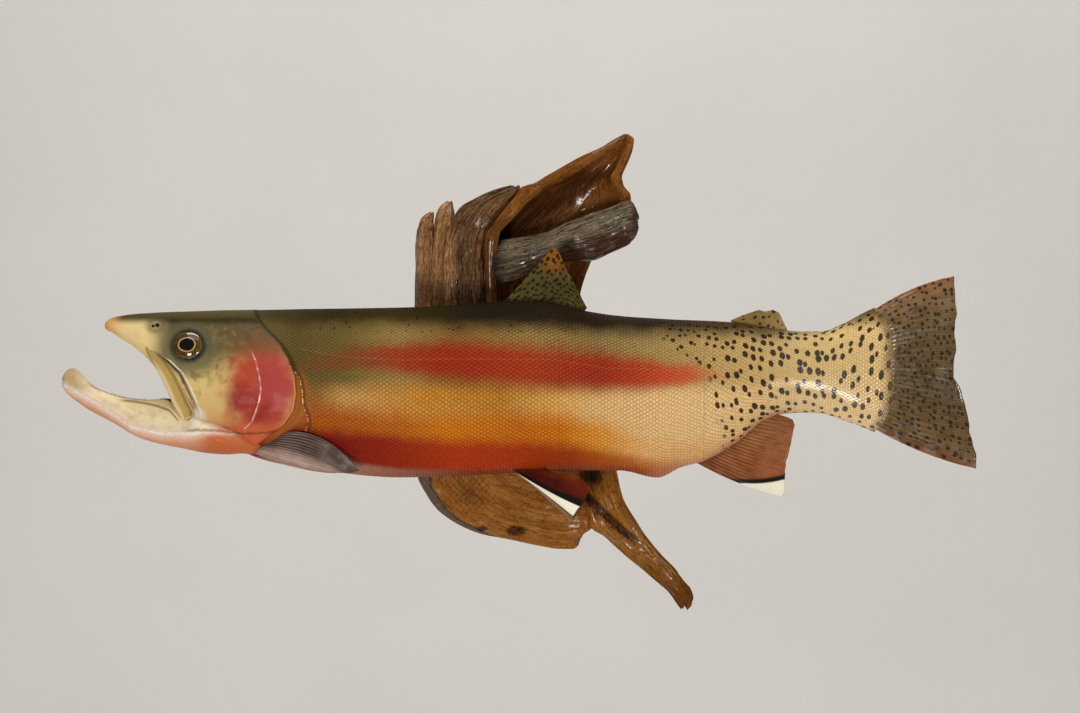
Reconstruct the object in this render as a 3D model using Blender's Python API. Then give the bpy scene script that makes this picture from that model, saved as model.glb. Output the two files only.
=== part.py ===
"""Mounted golden trout on driftwood, a still wall mount at life size.

The fish hangs with its left side to the viewer, who looks along +Y. X runs from the
head to the tail, Z is up, and the wall is the plane Y = 0, behind the driftwood.
Tables are in millimetres and turned into metres as each mesh is made.
"""
import math

import bmesh
import bpy
from mathutils import Matrix, Vector

# ---------------------------------------------------------------- driving dimensions (mm)
MM = 0.001
MID_DEPTH = 105.0            # the fish's middle plane, out from the wall
TAIL_SWING = 12.0            # how far the tail bends out towards the viewer
SWING_START = 40.0           # where that bend begins
SNOUT_X = -347.3
TAIL_BASE_X = 297.0
TRUNK_TAIL_X = 128.0         # cut between trunk and tail, just before the anal fin
GAP = 0.35                   # clearance between touching solids
BACK_FILL = 0.86             # roundness of the back: 1 is an ellipse, less is fuller
JAW_RIM_FILL = 0.6           # the jaw's upper side is flatter
BODY_SIDES = 24
EYE_CENTRE = (-277.0, 26.4, 36.2)   # along, out from the middle plane, up
EYE_RADIUS = 12.6
EYE_DEPTH = 5.2              # half thickness of the lens-shaped glass eye
EYE_TILT_UP = 12.0           # degrees that the eye looks up, and ahead
EYE_TILT_AHEAD = 9.0
COVER_THICK = 5.0            # gill cover plate
COVER_PROUD = 1.2            # how far it stands out of the flank
POCKET_BEHIND = 3.0          # how far the pocket of the gill cover runs on behind it
POCKET_WIDER = 0.6           # and how much wider it is all round
SOCKET_GAP = 0.45            # clearance round the glass eye
TRUNK_SHIFT = 0.55           # the trunk starts this far behind the gill opening
TAIL_FIN_GAP = 0.4           # clearance between the tail and its fin
WOOD_DEPTH = 46.0            # front of the hidden middle of the driftwood
WOOD_FILL = 0.62             # how square the sawn and split wood is: 1 is an ellipse

# Body: along, back, keel, half width, level of the widest point (0 keel, 1 back), keel fill
BODY = (
    (-347.3, 54.2, 50.6, 2.4, 0.5, 0.9),
    (-345.6, 56.6, 48.9, 6.0, 0.45, 0.7),
    (-341.0, 59.2, 45.4, 10.5, 0.42, 0.6),
    (-333.0, 60.9, 40.0, 15.0, 0.38, 0.5),
    (-323.0, 62.3, 33.6, 19.5, 0.34, 0.45),
    (-310.0, 63.1, 21.8, 24.0, 0.34, 0.42),
    (-300.0, 63.7, 8.4, 26.8, 0.38, 0.42),
    (-292.0, 64.0, -9.6, 28.8, 0.42, 0.45),
    (-281.0, 64.3, -24.0, 30.8, 0.45, 0.5),
    (-266.0, 64.8, -30.2, 33.0, 0.47, 0.52),
    (-246.0, 65.4, -36.0, 35.8, 0.48, 0.58),
    (-234.0, 65.6, -50.0, 37.2, 0.5, 0.7),
    (-212.0, 66.0, -58.8, 39.0, 0.5, 0.82),
    (-180.0, 66.6, -64.3, 40.8, 0.5, 0.86),
    (-106.0, 67.8, -71.5, 43.6, 0.5, 0.88),
    (-60.0, 69.9, -70.2, 44.6, 0.5, 0.88),
    (-8.0, 73.4, -67.6, 44.2, 0.5, 0.88),
    (14.0, 72.6, -66.6, 43.2, 0.5, 0.88),
    (41.0, 65.8, -65.8, 41.2, 0.51, 0.88),
    (74.0, 60.9, -65.9, 38.0, 0.52, 0.88),
    (104.0, 58.8, -71.6, 34.2, 0.53, 0.86),
    (124.0, 57.7, -62.9, 31.4, 0.53, 0.86),
    (141.0, 57.1, -58.4, 28.8, 0.53, 0.88),
    (172.0, 55.2, -40.6, 23.6, 0.53, 0.9),
    (191.0, 52.0, -24.8, 20.6, 0.52, 0.95),
    (204.0, 49.9, -20.0, 18.8, 0.52, 0.98),
    (221.0, 48.2, -18.8, 16.4, 0.52, 1.0),
    (238.0, 48.4, -19.7, 13.8, 0.52, 1.0),
    (254.0, 54.0, -24.4, 11.0, 0.52, 1.0),
    (270.0, 62.4, -30.2, 8.0, 0.52, 1.0),
    (286.0, 70.3, -36.8, 5.2, 0.52, 1.0),
    (297.0, 76.0, -41.0, 2.6, 0.52, 1.0),
)

# Lower jaw and throat: along, upper edge, lower edge, half width, widest level, keel fill
JAW = (
    (-382.6, 8.6, 4.2, 2.4, 0.5, 0.9),
    (-379.6, 15.0, -1.2, 5.4, 0.5, 0.8),
    (-373.0, 18.0, -7.2, 7.6, 0.45, 0.75),
    (-367.0, 14.6, -11.6, 8.8, 0.45, 0.75),
    (-361.0, 7.9, -15.8, 9.8, 0.5, 0.75),
    (-348.0, 2.6, -22.8, 12.4, 0.58, 0.8),
    (-337.0, -1.0, -28.8, 15.0, 0.6, 0.8),
    (-325.0, -2.8, -36.2, 18.0, 0.62, 0.8),
    (-311.0, -3.2, -41.8, 21.4, 0.62, 0.8),
    (-297.0, -1.0, -45.2, 24.2, 0.6, 0.8),
    (-281.0, -10.0, -48.2, 26.8, 0.5, 0.78),
    (-264.0, -20.0, -51.5, 29.4, 0.45, 0.76),
    (-247.0, -26.0, -52.7, 30.6, 0.42, 0.76),
    (-235.0, -30.0, -50.8, 29.4, 0.42, 0.78),
    (-223.0, -34.0, -45.0, 24.0, 0.5, 0.8),
)

# Inside of the mouth: along, roof, floor, half width
MOUTH = (
    (-352.0, 30.0, 1.0, 5.0),
    (-340.0, 47.5, -6.0, 8.0),
    (-326.0, 42.0, -11.0, 12.4),
    (-312.0, 33.0, -15.0, 16.0),
    (-298.0, 22.0, -19.0, 18.4),
    (-282.0, 8.0, -22.0, 17.6),
    (-268.0, -2.0, -18.0, 12.0),
)

# Edge of the gill opening from the nape down to the throat: along, up
GILL_EDGE = (
    (-230.1, 74.0), (-221.6, 57.0), (-214.1, 48.2), (-202.1, 36.4), (-194.7, 24.0), (-189.7, 11.0),
    (-188.5, -3.0), (-190.7, -16.0), (-198.1, -27.0), (-210.1, -36.0), (-222.1, -45.0), (-239.1, -59.0),
)
# Front edge of the gill cover, from the throat up to the nape
COVER_FRONT = (
    (-233.8, -34.5), (-224.3, -26.0), (-218.8, -13.0), (-216.8, 0.0),
    (-218.8, 14.0), (-224.8, 30.0), (-233.8, 48.0),
)

# Where the scaled skin of the tail ends and the rays of the tail fin begin
CAUDAL_ROOT = (
    (280.5, 73.0), (290.0, 61.4), (294.8, 43.3), (296.4, 23.3),
    (296.4, 9.8), (294.8, -5.7), (290.0, -24.5), (280.5, -40.0),
)

# Upper jaw bone over the corner of the mouth: up, front edge, rear edge, out from the middle
MAXILLA = (
    (32.0, -309.2, -304.8, 21.6),
    (26.0, -307.4, -299.4, 23.8),
    (13.0, -300.2, -289.2, 27.4),
    (0.0, -293.8, -282.4, 29.6),
    (-10.0, -289.4, -277.4, 30.6),
    (-18.0, -285.0, -273.6, 31.0),
    (-23.0, -280.2, -275.2, 31.0),
)


# ---------------------------------------------------------------- small tools
def clear_scene():
    for thing in list(bpy.data.objects):
        bpy.data.objects.remove(thing, do_unlink=True)


def collection(name):
    group = bpy.data.collections.new(name)
    bpy.context.scene.collection.children.link(group)
    return group


def smooth_curve(table, column):
    """A curve through one column of a table that never swings past its stations."""
    rows = sorted(table)
    along = [row[0] for row in rows]
    value = [row[column] for row in rows]
    step = [b - a for a, b in zip(along, along[1:])]
    slope = [(value[i + 1] - value[i]) / step[i] for i in range(len(step))]
    tangent = [slope[0]]
    for i in range(1, len(slope)):
        same_way = slope[i - 1] * slope[i] > 0
        mean = 2.0 * slope[i - 1] * slope[i] / (slope[i - 1] + slope[i]) if same_way else 0.0
        tangent.append(mean)
    tangent.append(slope[-1])

    def at(x):
        x = min(max(x, along[0]), along[-1])
        i = 0
        while i < len(step) - 1 and x > along[i + 1]:
            i += 1
        t = (x - along[i]) / step[i]
        hermite_a = (1 + 2 * t) * (1 - t) ** 2 * value[i] + t * t * (3 - 2 * t) * value[i + 1]
        hermite_b = t * (1 - t) ** 2 * tangent[i] - t * t * (1 - t) * tangent[i + 1]
        return hermite_a + hermite_b * step[i]

    return at


def spread(start, end, count):
    return [start + (end - start) * i / (count - 1) for i in range(count)]


def material(name, colour, roughness, metallic=0.0):
    """A plain finish; the colour is given as it is seen, 0 to 1."""
    finish = bpy.data.materials.new(name)
    finish.use_nodes = True
    shader = finish.node_tree.nodes["Principled BSDF"]
    linear = [c ** 2.2 for c in colour]
    shader.inputs["Base Color"].default_value = (*linear, 1.0)
    shader.inputs["Roughness"].default_value = roughness
    shader.inputs["Metallic"].default_value = metallic
    return finish


def new_object(name, mesh, finish, group):
    thing = bpy.data.objects.new(name, mesh)
    if finish:
        mesh.materials.clear()
        mesh.materials.append(finish)
    group.objects.link(thing)
    return thing


def mesh_from(form, name):
    bmesh.ops.recalc_face_normals(form, faces=form.faces)
    mesh = bpy.data.meshes.new(name)
    form.to_mesh(mesh)
    form.free()
    return mesh


def loft(name, rings):
    """Closed mesh through rings of equally many points, in mm, with its two ends filled."""
    form = bmesh.new()
    rows = [[form.verts.new(Vector(point) * MM) for point in ring] for ring in rings]
    for near, far in zip(rows, rows[1:]):
        for i in range(len(near)):
            j = (i + 1) % len(near)
            form.faces.new((near[i], near[j], far[j], far[i]))
    form.faces.new(rows[0][::-1])
    form.faces.new(rows[-1])
    return mesh_from(form, name)


def prism(name, outline, near_y, far_y):
    """A flat outline in the X-Z plane drawn out along Y."""
    return loft(name, [[(x, y, z) for x, z in outline] for y in (near_y, far_y)])


def boolean(part, cutter, operation="DIFFERENCE"):
    """Cut the part and keep the result as its own mesh."""
    step = part.modifiers.new("cut", "BOOLEAN")
    step.operation = operation
    step.solver = "EXACT"
    step.object = cutter
    bpy.context.view_layer.update()
    graph = bpy.context.evaluated_depsgraph_get()
    result = bpy.data.meshes.new_from_object(part.evaluated_get(graph))
    part.modifiers.remove(step)
    finish = part.data.materials[0] if part.data.materials else None
    part.data = result
    result.materials.clear()
    if finish:
        result.materials.append(finish)


def shade(part, angle=40.0):
    part.data.shade_smooth()
    part.data.set_sharp_from_angle(angle=math.radians(angle))


# ---------------------------------------------------------------- the fish's own curves
BACK, KEEL, GIRTH, BELT, FILL = [smooth_curve(BODY, i) for i in range(1, 6)]


def middle(x):
    """Where the fish's middle plane lies at x: straight, with the tail swung out."""
    past = max(0.0, x - SWING_START) / (TAIL_BASE_X - SWING_START)
    return -MID_DEPTH - TAIL_SWING * past * past


def section(x, top, bottom, half, belt, keel_fill, sides, back_fill=BACK_FILL):
    """Oval ring with a separate upper and lower half, and a small flat at its top and keel."""
    level = bottom + (top - bottom) * belt
    reach_out = math.cos(math.pi / sides)
    ring = []
    for i in range(sides):
        turn = 2.0 * math.pi * (i + 0.5) / sides
        up = math.cos(turn) / reach_out
        out = math.sin(turn) / reach_out
        fill = back_fill if up > 0 else keel_fill
        reach = top - level if up > 0 else level - bottom
        ring.append((x, middle(x) - half * math.copysign(abs(out) ** fill, out), level + reach * up))
    return ring


def body_rings(places, grow=0.0, sides=BODY_SIDES):
    return [section(x, BACK(x) + grow, KEEL(x) - grow, GIRTH(x) + grow, BELT(x), FILL(x), sides)
            for x in places]


def body_places():
    head = spread(SNOUT_X, -300.0, 8) + spread(-293.0, -186.0, 11)
    return head + spread(-162.0, 240.0, 17) + spread(254.0, TAIL_BASE_X, 4)


def body_mesh(name, grow=0.0, places=None):
    rings = body_rings(places or body_places(), grow)
    if grow:
        rings[0] = [(x - grow, y, z) for x, y, z in rings[0]]
        rings[-1] = [(x + grow, y, z) for x, y, z in rings[-1]]
    return loft(name, rings)


def jaw_mesh(name, grow=0.0):
    curves = [smooth_curve(JAW, i) for i in range(1, 6)]
    places = spread(JAW[0][0], -361.0, 7) + spread(-350.0, JAW[-1][0], 11)
    rings = []
    for x in places:
        top, bottom, half, belt, fill = [curve(x) for curve in curves]
        rings.append(section(x, top + grow, bottom - grow, half + grow, belt, fill, 16, JAW_RIM_FILL))
    return loft(name, rings)


def mouth_mesh(name):
    curves = [smooth_curve(MOUTH, i) for i in range(1, 4)]
    rings = []
    for x in spread(MOUTH[0][0], MOUTH[-1][0], 8):
        roof, floor, half = [curve(x) for curve in curves]
        rings.append(section(x, roof, floor, half, 0.5, 0.7, 12))
    return loft(name, rings)


# ---------------------------------------------------------------- finishes
clear_scene()
TROUT = collection("mounted_trout")
CUTTERS = collection("cutters")

OLIVE = material("olive_back_and_cheek", (0.72, 0.62, 0.40), 0.3)
FLANK = material("gold_flank", (0.72, 0.52, 0.26), 0.28)
TAIL_SKIN = material("spotted_tail", (0.70, 0.58, 0.36), 0.28)
JAW_SKIN = material("pale_jaw", (0.85, 0.74, 0.62), 0.28)
ROSE = material("rose_gill_cover", (0.66, 0.26, 0.22), 0.28)
DARK_FIN = material("olive_fin", (0.38, 0.32, 0.2), 0.32)
RED_FIN = material("red_brown_fin", (0.52, 0.26, 0.14), 0.32)
GREY_FIN = material("grey_fin", (0.48, 0.42, 0.38), 0.32)
EYE_GLASS = material("glass_eye", (0.12, 0.1, 0.06), 0.05)
WOOD = material("driftwood", (0.45, 0.29, 0.17), 0.5)
WOOD_DARK = material("driftwood_dark", (0.34, 0.21, 0.11), 0.55)


def cutter(name, mesh):
    tool = new_object(name, mesh, None, CUTTERS)
    tool.hide_render = True
    tool.display_type = "WIRE"
    return tool


# ---------------------------------------------------------------- shared cutters
FAR = 60.0                   # clear of the fish on either side of its middle plane
NEAR_Y = -MID_DEPTH - FAR
FAR_Y = -MID_DEPTH + FAR
AHEAD_X = -420.0             # clear of the snout
ABOVE_Z = 90.0               # clear of the back, and of the keel below
NAPE_X = -232.0              # the gill line drawn on above the nape
THROAT_X = -241.0            # and on below the throat
BODY_GROWN = cutter("body_grown", body_mesh("body_grown", GAP))
COVER_SPAN = [x for x in body_places() if -256.0 < x < -160.0]
BODY_SUNK = cutter("body_sunk", body_mesh("body_sunk", -COVER_THICK, COVER_SPAN))
MOUTH_HOLLOW = cutter("mouth_hollow", mouth_mesh("mouth_hollow"))


def gill_side(shift):
    """The gill edge moved along X by a shift."""
    return [(x + shift, z) for x, z in GILL_EDGE]


head_side = [(AHEAD_X, ABOVE_Z)] + gill_side(0.0) + [(THROAT_X, -ABOVE_Z), (AHEAD_X, -ABOVE_Z)]
trunk_side = gill_side(TRUNK_SHIFT) + [(THROAT_X, -ABOVE_Z), (TRUNK_TAIL_X, -ABOVE_Z)]
trunk_side += [(TRUNK_TAIL_X, ABOVE_Z), (NAPE_X, ABOVE_Z)]
tail_start = TRUNK_TAIL_X + GAP
HEAD_REGION = cutter("head_region", prism("head_region", head_side, NEAR_Y, FAR_Y))
TRUNK_REGION = cutter("trunk_region", prism("trunk_region", trunk_side, NEAR_Y, FAR_Y))

# ---------------------------------------------------------------- gill covers
rear = [(x - 0.5, z) for x, z in GILL_EDGE[1:10]]
cover_outline = [(-227.4, 57.0)] + rear + list(COVER_FRONT)


def widened(outline, by):
    """The outline with every corner pushed outwards; it runs clockwise as the viewer sees it."""
    moved = []
    for i, (x, z) in enumerate(outline):
        before = Vector((x - outline[i - 1][0], z - outline[i - 1][1])).normalized()
        after_x, after_z = outline[(i + 1) % len(outline)]
        after = Vector((after_x - x, after_z - z)).normalized()
        out = Vector((-before.y - after.y, before.x + after.x)).normalized()
        reach = by / max(0.5, out.dot(Vector((-after.y, after.x))))
        moved.append((x + out.x * reach, z + out.y * reach))
    return moved


covers = {}
for side, low_y, high_y in (("left", NEAR_Y, -MID_DEPTH), ("right", -MID_DEPTH, FAR_Y)):
    name = "gill_cover_" + side
    plate = new_object(name, prism(name, cover_outline, low_y, high_y), ROSE, TROUT)
    boolean(plate, BODY_SUNK)
    boolean(plate, cutter(name + "_skin", body_mesh(name + "_skin", COVER_PROUD)), "INTERSECT")
    shade(plate)
    covers[side] = plate
past_edge = [(x + POCKET_BEHIND, z) for x, z in rear]
pocket_outline = widened([(-227.4, 57.0)] + past_edge + list(COVER_FRONT), POCKET_WIDER)
cover_pocket = cutter("cover_pocket", prism("cover_pocket", pocket_outline, NEAR_Y, FAR_Y))
deeper = cutter("body_deeper", body_mesh("body_deeper", -COVER_THICK - GAP, COVER_SPAN))
boolean(cover_pocket, deeper)

# ---------------------------------------------------------------- maxillae


def maxilla_mesh(name, side, grow=0.0):
    curves = [smooth_curve(MAXILLA, i) for i in range(1, 4)]
    rings = []
    for z in spread(MAXILLA[0][0] + grow, MAXILLA[-1][0] - grow, 8):
        front, back, out = [curve(z) for curve in curves]
        ring = []
        for i in range(8):
            turn = 2.0 * math.pi * i / 8
            x = (front + back) / 2.0 + ((back - front) / 2.0 + grow) * math.cos(turn)
            y = out - 1.4 + (2.4 + grow) * math.sin(turn)
            ring.append((x, -MID_DEPTH - side * y, z))
        rings.append(ring)
    return loft(name, rings)


for side, sign in (("left", 1.0), ("right", -1.0)):
    blade = new_object("maxilla_" + side, maxilla_mesh("maxilla_" + side, sign), JAW_SKIN, TROUT)
    shade(blade)
maxilla_slots = [cutter("maxilla_slot_left", maxilla_mesh("maxilla_slot_left", 1.0, GAP)),
                 cutter("maxilla_slot_right", maxilla_mesh("maxilla_slot_right", -1.0, GAP))]

# ---------------------------------------------------------------- eyes


def lens(name, side, grow=0.0):
    """A flattened ball, its flat way turned along the line of sight of that side's eye."""
    form = bmesh.new()
    bmesh.ops.create_uvsphere(form, u_segments=14, v_segments=8, radius=1.0)
    radius = EYE_RADIUS + grow
    flatten = Matrix.Diagonal((radius, radius, EYE_DEPTH + grow, 1.0))
    face_viewer = Matrix.Rotation(math.radians(90.0 * side), 4, "X")
    look_up = Matrix.Rotation(math.radians(-EYE_TILT_UP * side), 4, "X")
    look_ahead = Matrix.Rotation(math.radians(-EYE_TILT_AHEAD * side), 4, "Z")
    along_x, out, up = EYE_CENTRE
    place = Matrix.Translation((along_x, -MID_DEPTH - side * out, up))
    bmesh.ops.transform(form, matrix=place @ look_ahead @ look_up @ face_viewer @ flatten, verts=form.verts)
    bmesh.ops.scale(form, vec=(MM, MM, MM), verts=form.verts)
    return mesh_from(form, name)


sockets = []
for side, sign in (("left", 1.0), ("right", -1.0)):
    eye = new_object("eye_" + side, lens("eye_" + side, sign), EYE_GLASS, TROUT)
    shade(eye, 60.0)
    sockets.append(cutter("socket_" + side, lens("socket_" + side, sign, SOCKET_GAP)))

# ---------------------------------------------------------------- head, trunk, tail, lower jaw
head = new_object("head", body_mesh("head"), OLIVE, TROUT)
boolean(head, HEAD_REGION, "INTERSECT")
for tool in [MOUTH_HOLLOW, cover_pocket] + sockets + maxilla_slots:
    boolean(head, tool)
shade(head)

trunk = new_object("trunk", body_mesh("trunk"), FLANK, TROUT)
boolean(trunk, TRUNK_REGION, "INTERSECT")
shade(trunk)

tail_outline = [(tail_start, ABOVE_Z), (tail_start, -ABOVE_Z), (CAUDAL_ROOT[-1][0], -ABOVE_Z)]
tail_outline += list(CAUDAL_ROOT[::-1]) + [(CAUDAL_ROOT[0][0], ABOVE_Z)]
tail = new_object("tail", body_mesh("tail"), TAIL_SKIN, TROUT)
boolean(tail, cutter("tail_region", prism("tail_region", tail_outline, NEAR_Y, FAR_Y)), "INTERSECT")
shade(tail)

jaw = new_object("lower_jaw", jaw_mesh("lower_jaw"), JAW_SKIN, TROUT)
boolean(jaw, MOUTH_HOLLOW)
boolean(jaw, BODY_GROWN)
shade(jaw)

# ---------------------------------------------------------------- fins


def along(points, share):
    """The point a given share of the way along a chain of points."""
    lengths = [math.dist(a, b) for a, b in zip(points, points[1:])]
    left = share * sum(lengths)
    for a, b, length in zip(points, points[1:], lengths):
        if left <= length:
            return [p + (q - p) * left / length for p, q in zip(a, b)]
        left -= length
    return list(points[-1])


def fin_mesh(name, base, edge, rays, steps, thick, bow, out):
    """Fin as rays from its base line to its outer edge.

    base and edge are chains of (along, up). bow gives how far the first and last ray swell
    out of line, thick the thickness at base and edge, and out(share across, share along a
    ray) the distance from the middle plane.
    """
    rings = []
    for step in range(steps):
        t = step / (steps - 1)
        half = (thick[0] + (thick[1] - thick[0]) * t) / 2.0
        near, far = [], []
        for ray in range(rays):
            s = ray / (rays - 1)
            foot = along(base, s)
            rim = along(edge, s)
            swell = (bow[0] * (1.0 - s) - bow[1] * s) * 4.0 * t * (1.0 - t)
            x = foot[0] + (rim[0] - foot[0]) * t
            z = foot[1] + (rim[1] - foot[1]) * t + swell
            y = middle(x) - out(s, t)
            near.append((x, y - half, z))
            far.append((x, y + half, z))
        rings.append(near + far[::-1])
    return loft(name, rings)


def flat_fin(waves, height):
    """Distance from the middle plane of an upright fin with a few soft folds."""
    return lambda s, t: height * math.sin(2.0 * math.pi * waves * s) * t


def fin(name, finish, *shape):
    thing = new_object(name, fin_mesh(name, *shape), finish, TROUT)
    boolean(thing, BODY_GROWN)
    shade(thing)
    return thing


DORSAL_BASE = ((-28.0, 64.0), (6.0, 64.0), (38.0, 58.0))
DORSAL_EDGE = ((20.0, 118.0), (24.5, 112.0), (28.5, 101.5), (38.5, 84.0), (46.5, 67.0), (43.0, 62.5))
fin("dorsal_fin", DARK_FIN, DORSAL_BASE, DORSAL_EDGE, 9, 5, (3.2, 1.2), (0.0, 0.0), flat_fin(1.5, 1.0))

ADIPOSE_BASE = ((166.0, 48.0), (206.0, 44.0))
ADIPOSE_EDGE = (
    (164.0, 57.0), (175.0, 61.8), (187.0, 65.6), (192.0, 64.4), (198.5, 65.6), (203.5, 63.0), (206.0, 57.5),
    (210.0, 49.5),
)
fin("adipose_fin", DARK_FIN, ADIPOSE_BASE, ADIPOSE_EDGE, 13, 3, (6.0, 2.6), (0.0, 0.0), flat_fin(1.0, 0.0))

ANAL_BASE = ((131.0, -56.5), (157.0, -45.0), (177.0, -32.0), (188.0, -18.0))
ANAL_EDGE = (
    (206.0, -87.0), (208.5, -83.0), (208.0, -72.0), (209.0, -61.0), (213.0, -44.0), (216.0, -28.0),
    (214.5, -24.0),
)
fin("anal_fin", RED_FIN, ANAL_BASE, ANAL_EDGE, 10, 5, (3.2, 1.2), (-3.4, -1.5), flat_fin(1.5, 1.4))

CAUDAL_EDGE = (
    (345.2, 92.8), (346.0, 72.0), (347.6, 62.0), (346.0, 52.0), (347.0, 32.7), (344.8, 23.0), (344.8, 10.5),
    (349.4, 3.3), (352.8, -6.0), (356.4, -21.2), (359.6, -40.9), (362.8, -51.0), (363.2, -63.8),
)
caudal_base = [(x - 3.0, z) for x, z in CAUDAL_ROOT]
caudal_base[0] = (281.0, 68.2)
caudal_base[-1] = (281.0, -33.6)
caudal = new_object("caudal_fin", fin_mesh("caudal_fin", caudal_base, CAUDAL_EDGE, 15, 6, (4.4, 1.2),
                                           (3.0, 2.8), flat_fin(2.5, 2.4)), DARK_FIN, TROUT)
tail_passed = [(x + TAIL_FIN_GAP, z) for x, z in tail_outline]
boolean(caudal, cutter("tail_passed", prism("tail_passed", tail_passed, NEAR_Y, FAR_Y)))
shade(caudal)

PECTORAL_BASE = ((-211.0, -38.0), (-224.0, -51.0))
PECTORAL_EDGE = ((-137.5, -65.0), (-146.0, -67.0), (-160.0, -67.2))
PELVIC_BASE = ((-13.0, -63.0), (6.0, -60.0))
PELVIC_EDGE = ((35.0, -102.0), (39.5, -96.0), (44.0, -89.9), (48.4, -80.1), (45.4, -74.7), (36.0, -69.0))
FAR_PELVIC_DROP = 6.4        # the far pelvic fin hangs a little lower


def pectoral_out(s, t):
    """The pectoral fin leaves the flank at once and lies back along it."""
    rise = min(1.0, t / 0.3)
    return 24.0 + 15.0 * rise * rise * (3.0 - 2.0 * rise) - 6.0 * s * rise


def pelvic_out(s, t):
    return 12.0 + 18.0 * t - 2.0 * s


def mirrored(edge, drop):
    """The same chain of points for the far side, hanging lower towards its end."""
    low = min(z for x, z in edge)
    return [(x, z - drop * max(0.0, (-60.0 - z) / (-60.0 - low))) for x, z in edge]


fin("pectoral_fin_left", GREY_FIN, PECTORAL_BASE, PECTORAL_EDGE, 9, 7, (3.4, 1.2), (15.0, 3.0), pectoral_out)
fin("pectoral_fin_right", GREY_FIN, PECTORAL_BASE, PECTORAL_EDGE, 9, 7, (3.4, 1.2), (15.0, 3.0),
    lambda s, t: -pectoral_out(s, t))
fin("pelvic_fin_left", RED_FIN, PELVIC_BASE, PELVIC_EDGE, 9, 5, (3.4, 1.2), (1.0, 2.0), pelvic_out)
fin("pelvic_fin_right", RED_FIN, PELVIC_BASE, mirrored(PELVIC_EDGE, FAR_PELVIC_DROP), 9, 5, (3.4, 1.2),
    (1.0, 2.0), lambda s, t: -pelvic_out(s, t))

# ---------------------------------------------------------------- driftwood
# Upright pieces: up, left edge, right edge, back, front (both out from the wall)
SLAT_A = (
    (58.4, -96.1, -79.9, 6.0, 34.0), (119.4, -95.1, -79.4, 8.0, 33.0), (131.6, -94.1, -79.9, 10.0, 32.0),
    (139.3, -91.6, -80.4, 12.0, 30.0), (143.3, -87.5, -80.0, 14.0, 28.0), (145.5, -82.9, -80.2, 16.0, 25.0),
)
SLAT_B = (
    (58.4, -81.4, -70.2, 5.0, 40.0), (106.2, -81.4, -69.2, 6.0, 40.0), (131.6, -80.6, -65.7, 8.0, 40.0),
    (143.8, -78.8, -62.7, 10.0, 38.0), (150.3, -75.3, -63.5, 13.0, 34.0), (154.6, -68.7, -65.0, 18.0, 29.0),
)
SLAB = (
    (58.4, -72.3, -36.7, 4.0, 48.0), (106.2, -72.3, -37.3, 5.0, 50.0), (123.5, -70.0, -36.5, 6.0, 52.0),
    (133.7, -67.2, -33.0, 7.0, 52.0), (142.8, -64.1, -25.5, 8.0, 52.0), (151.5, -58.0, -18.0, 10.0, 50.0),
    (159.1, -43.8, -11.7, 12.0, 47.0), (165.2, -28.6, -6.8, 14.0, 44.0), (168.4, -16.4, -8.3, 20.0, 38.0),
)
LOWER = (
    (-58.4, -94.1, 46.6, 5.0, 42.0), (-73.6, -93.8, 46.1, 6.0, 42.0), (-81.7, -90.1, 46.1, 7.0, 41.0),
    (-100.0, -77.8, 46.6, 9.0, 38.0), (-110.2, -64.5, 47.0, 11.0, 36.0), (-115.8, -54.0, 46.8, 12.0, 35.0),
    (-120.8, -40.8, 44.2, 13.0, 34.0), (-125.2, -17.4, 42.1, 14.0, 32.0), (-130.1, 4.9, 40.1, 15.0, 30.0),
    (-132.9, 21.2, 37.0, 17.0, 27.0),
)
ROOT = (
    (-58.4, 36.4, 70.8, 6.0, 46.0), (-68.5, 40.5, 72.4, 7.0, 46.0), (-89.8, 43.6, 77.1, 9.0, 45.0),
    (-110.2, 47.6, 88.7, 11.0, 42.0), (-116.7, 52.2, 92.7, 11.5, 41.0), (-121.7, 60.8, 96.2, 12.0, 40.0),
    (-130.8, 71.0, 103.9, 13.0, 38.0), (-139.9, 81.1, 111.6, 14.0, 35.0), (-149.8, 92.9, 121.4, 15.0, 33.0),
    (-160.0, 104.5, 128.9, 16.0, 31.0), (-167.1, 114.3, 134.4, 17.0, 30.0), (-175.2, 121.2, 136.4, 18.0, 28.0),
    (-180.3, 125.4, 131.5, 20.0, 26.0),
)
CORE = (
    (-58.0, -92.0, 68.0, 0.0, 43.0), (-30.0, -89.0, 60.0, 0.0, 45.0), (20.0, -88.0, 52.0, 0.0, WOOD_DEPTH),
    (58.0, -94.0, 40.0, 0.0, 47.0),
)
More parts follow.
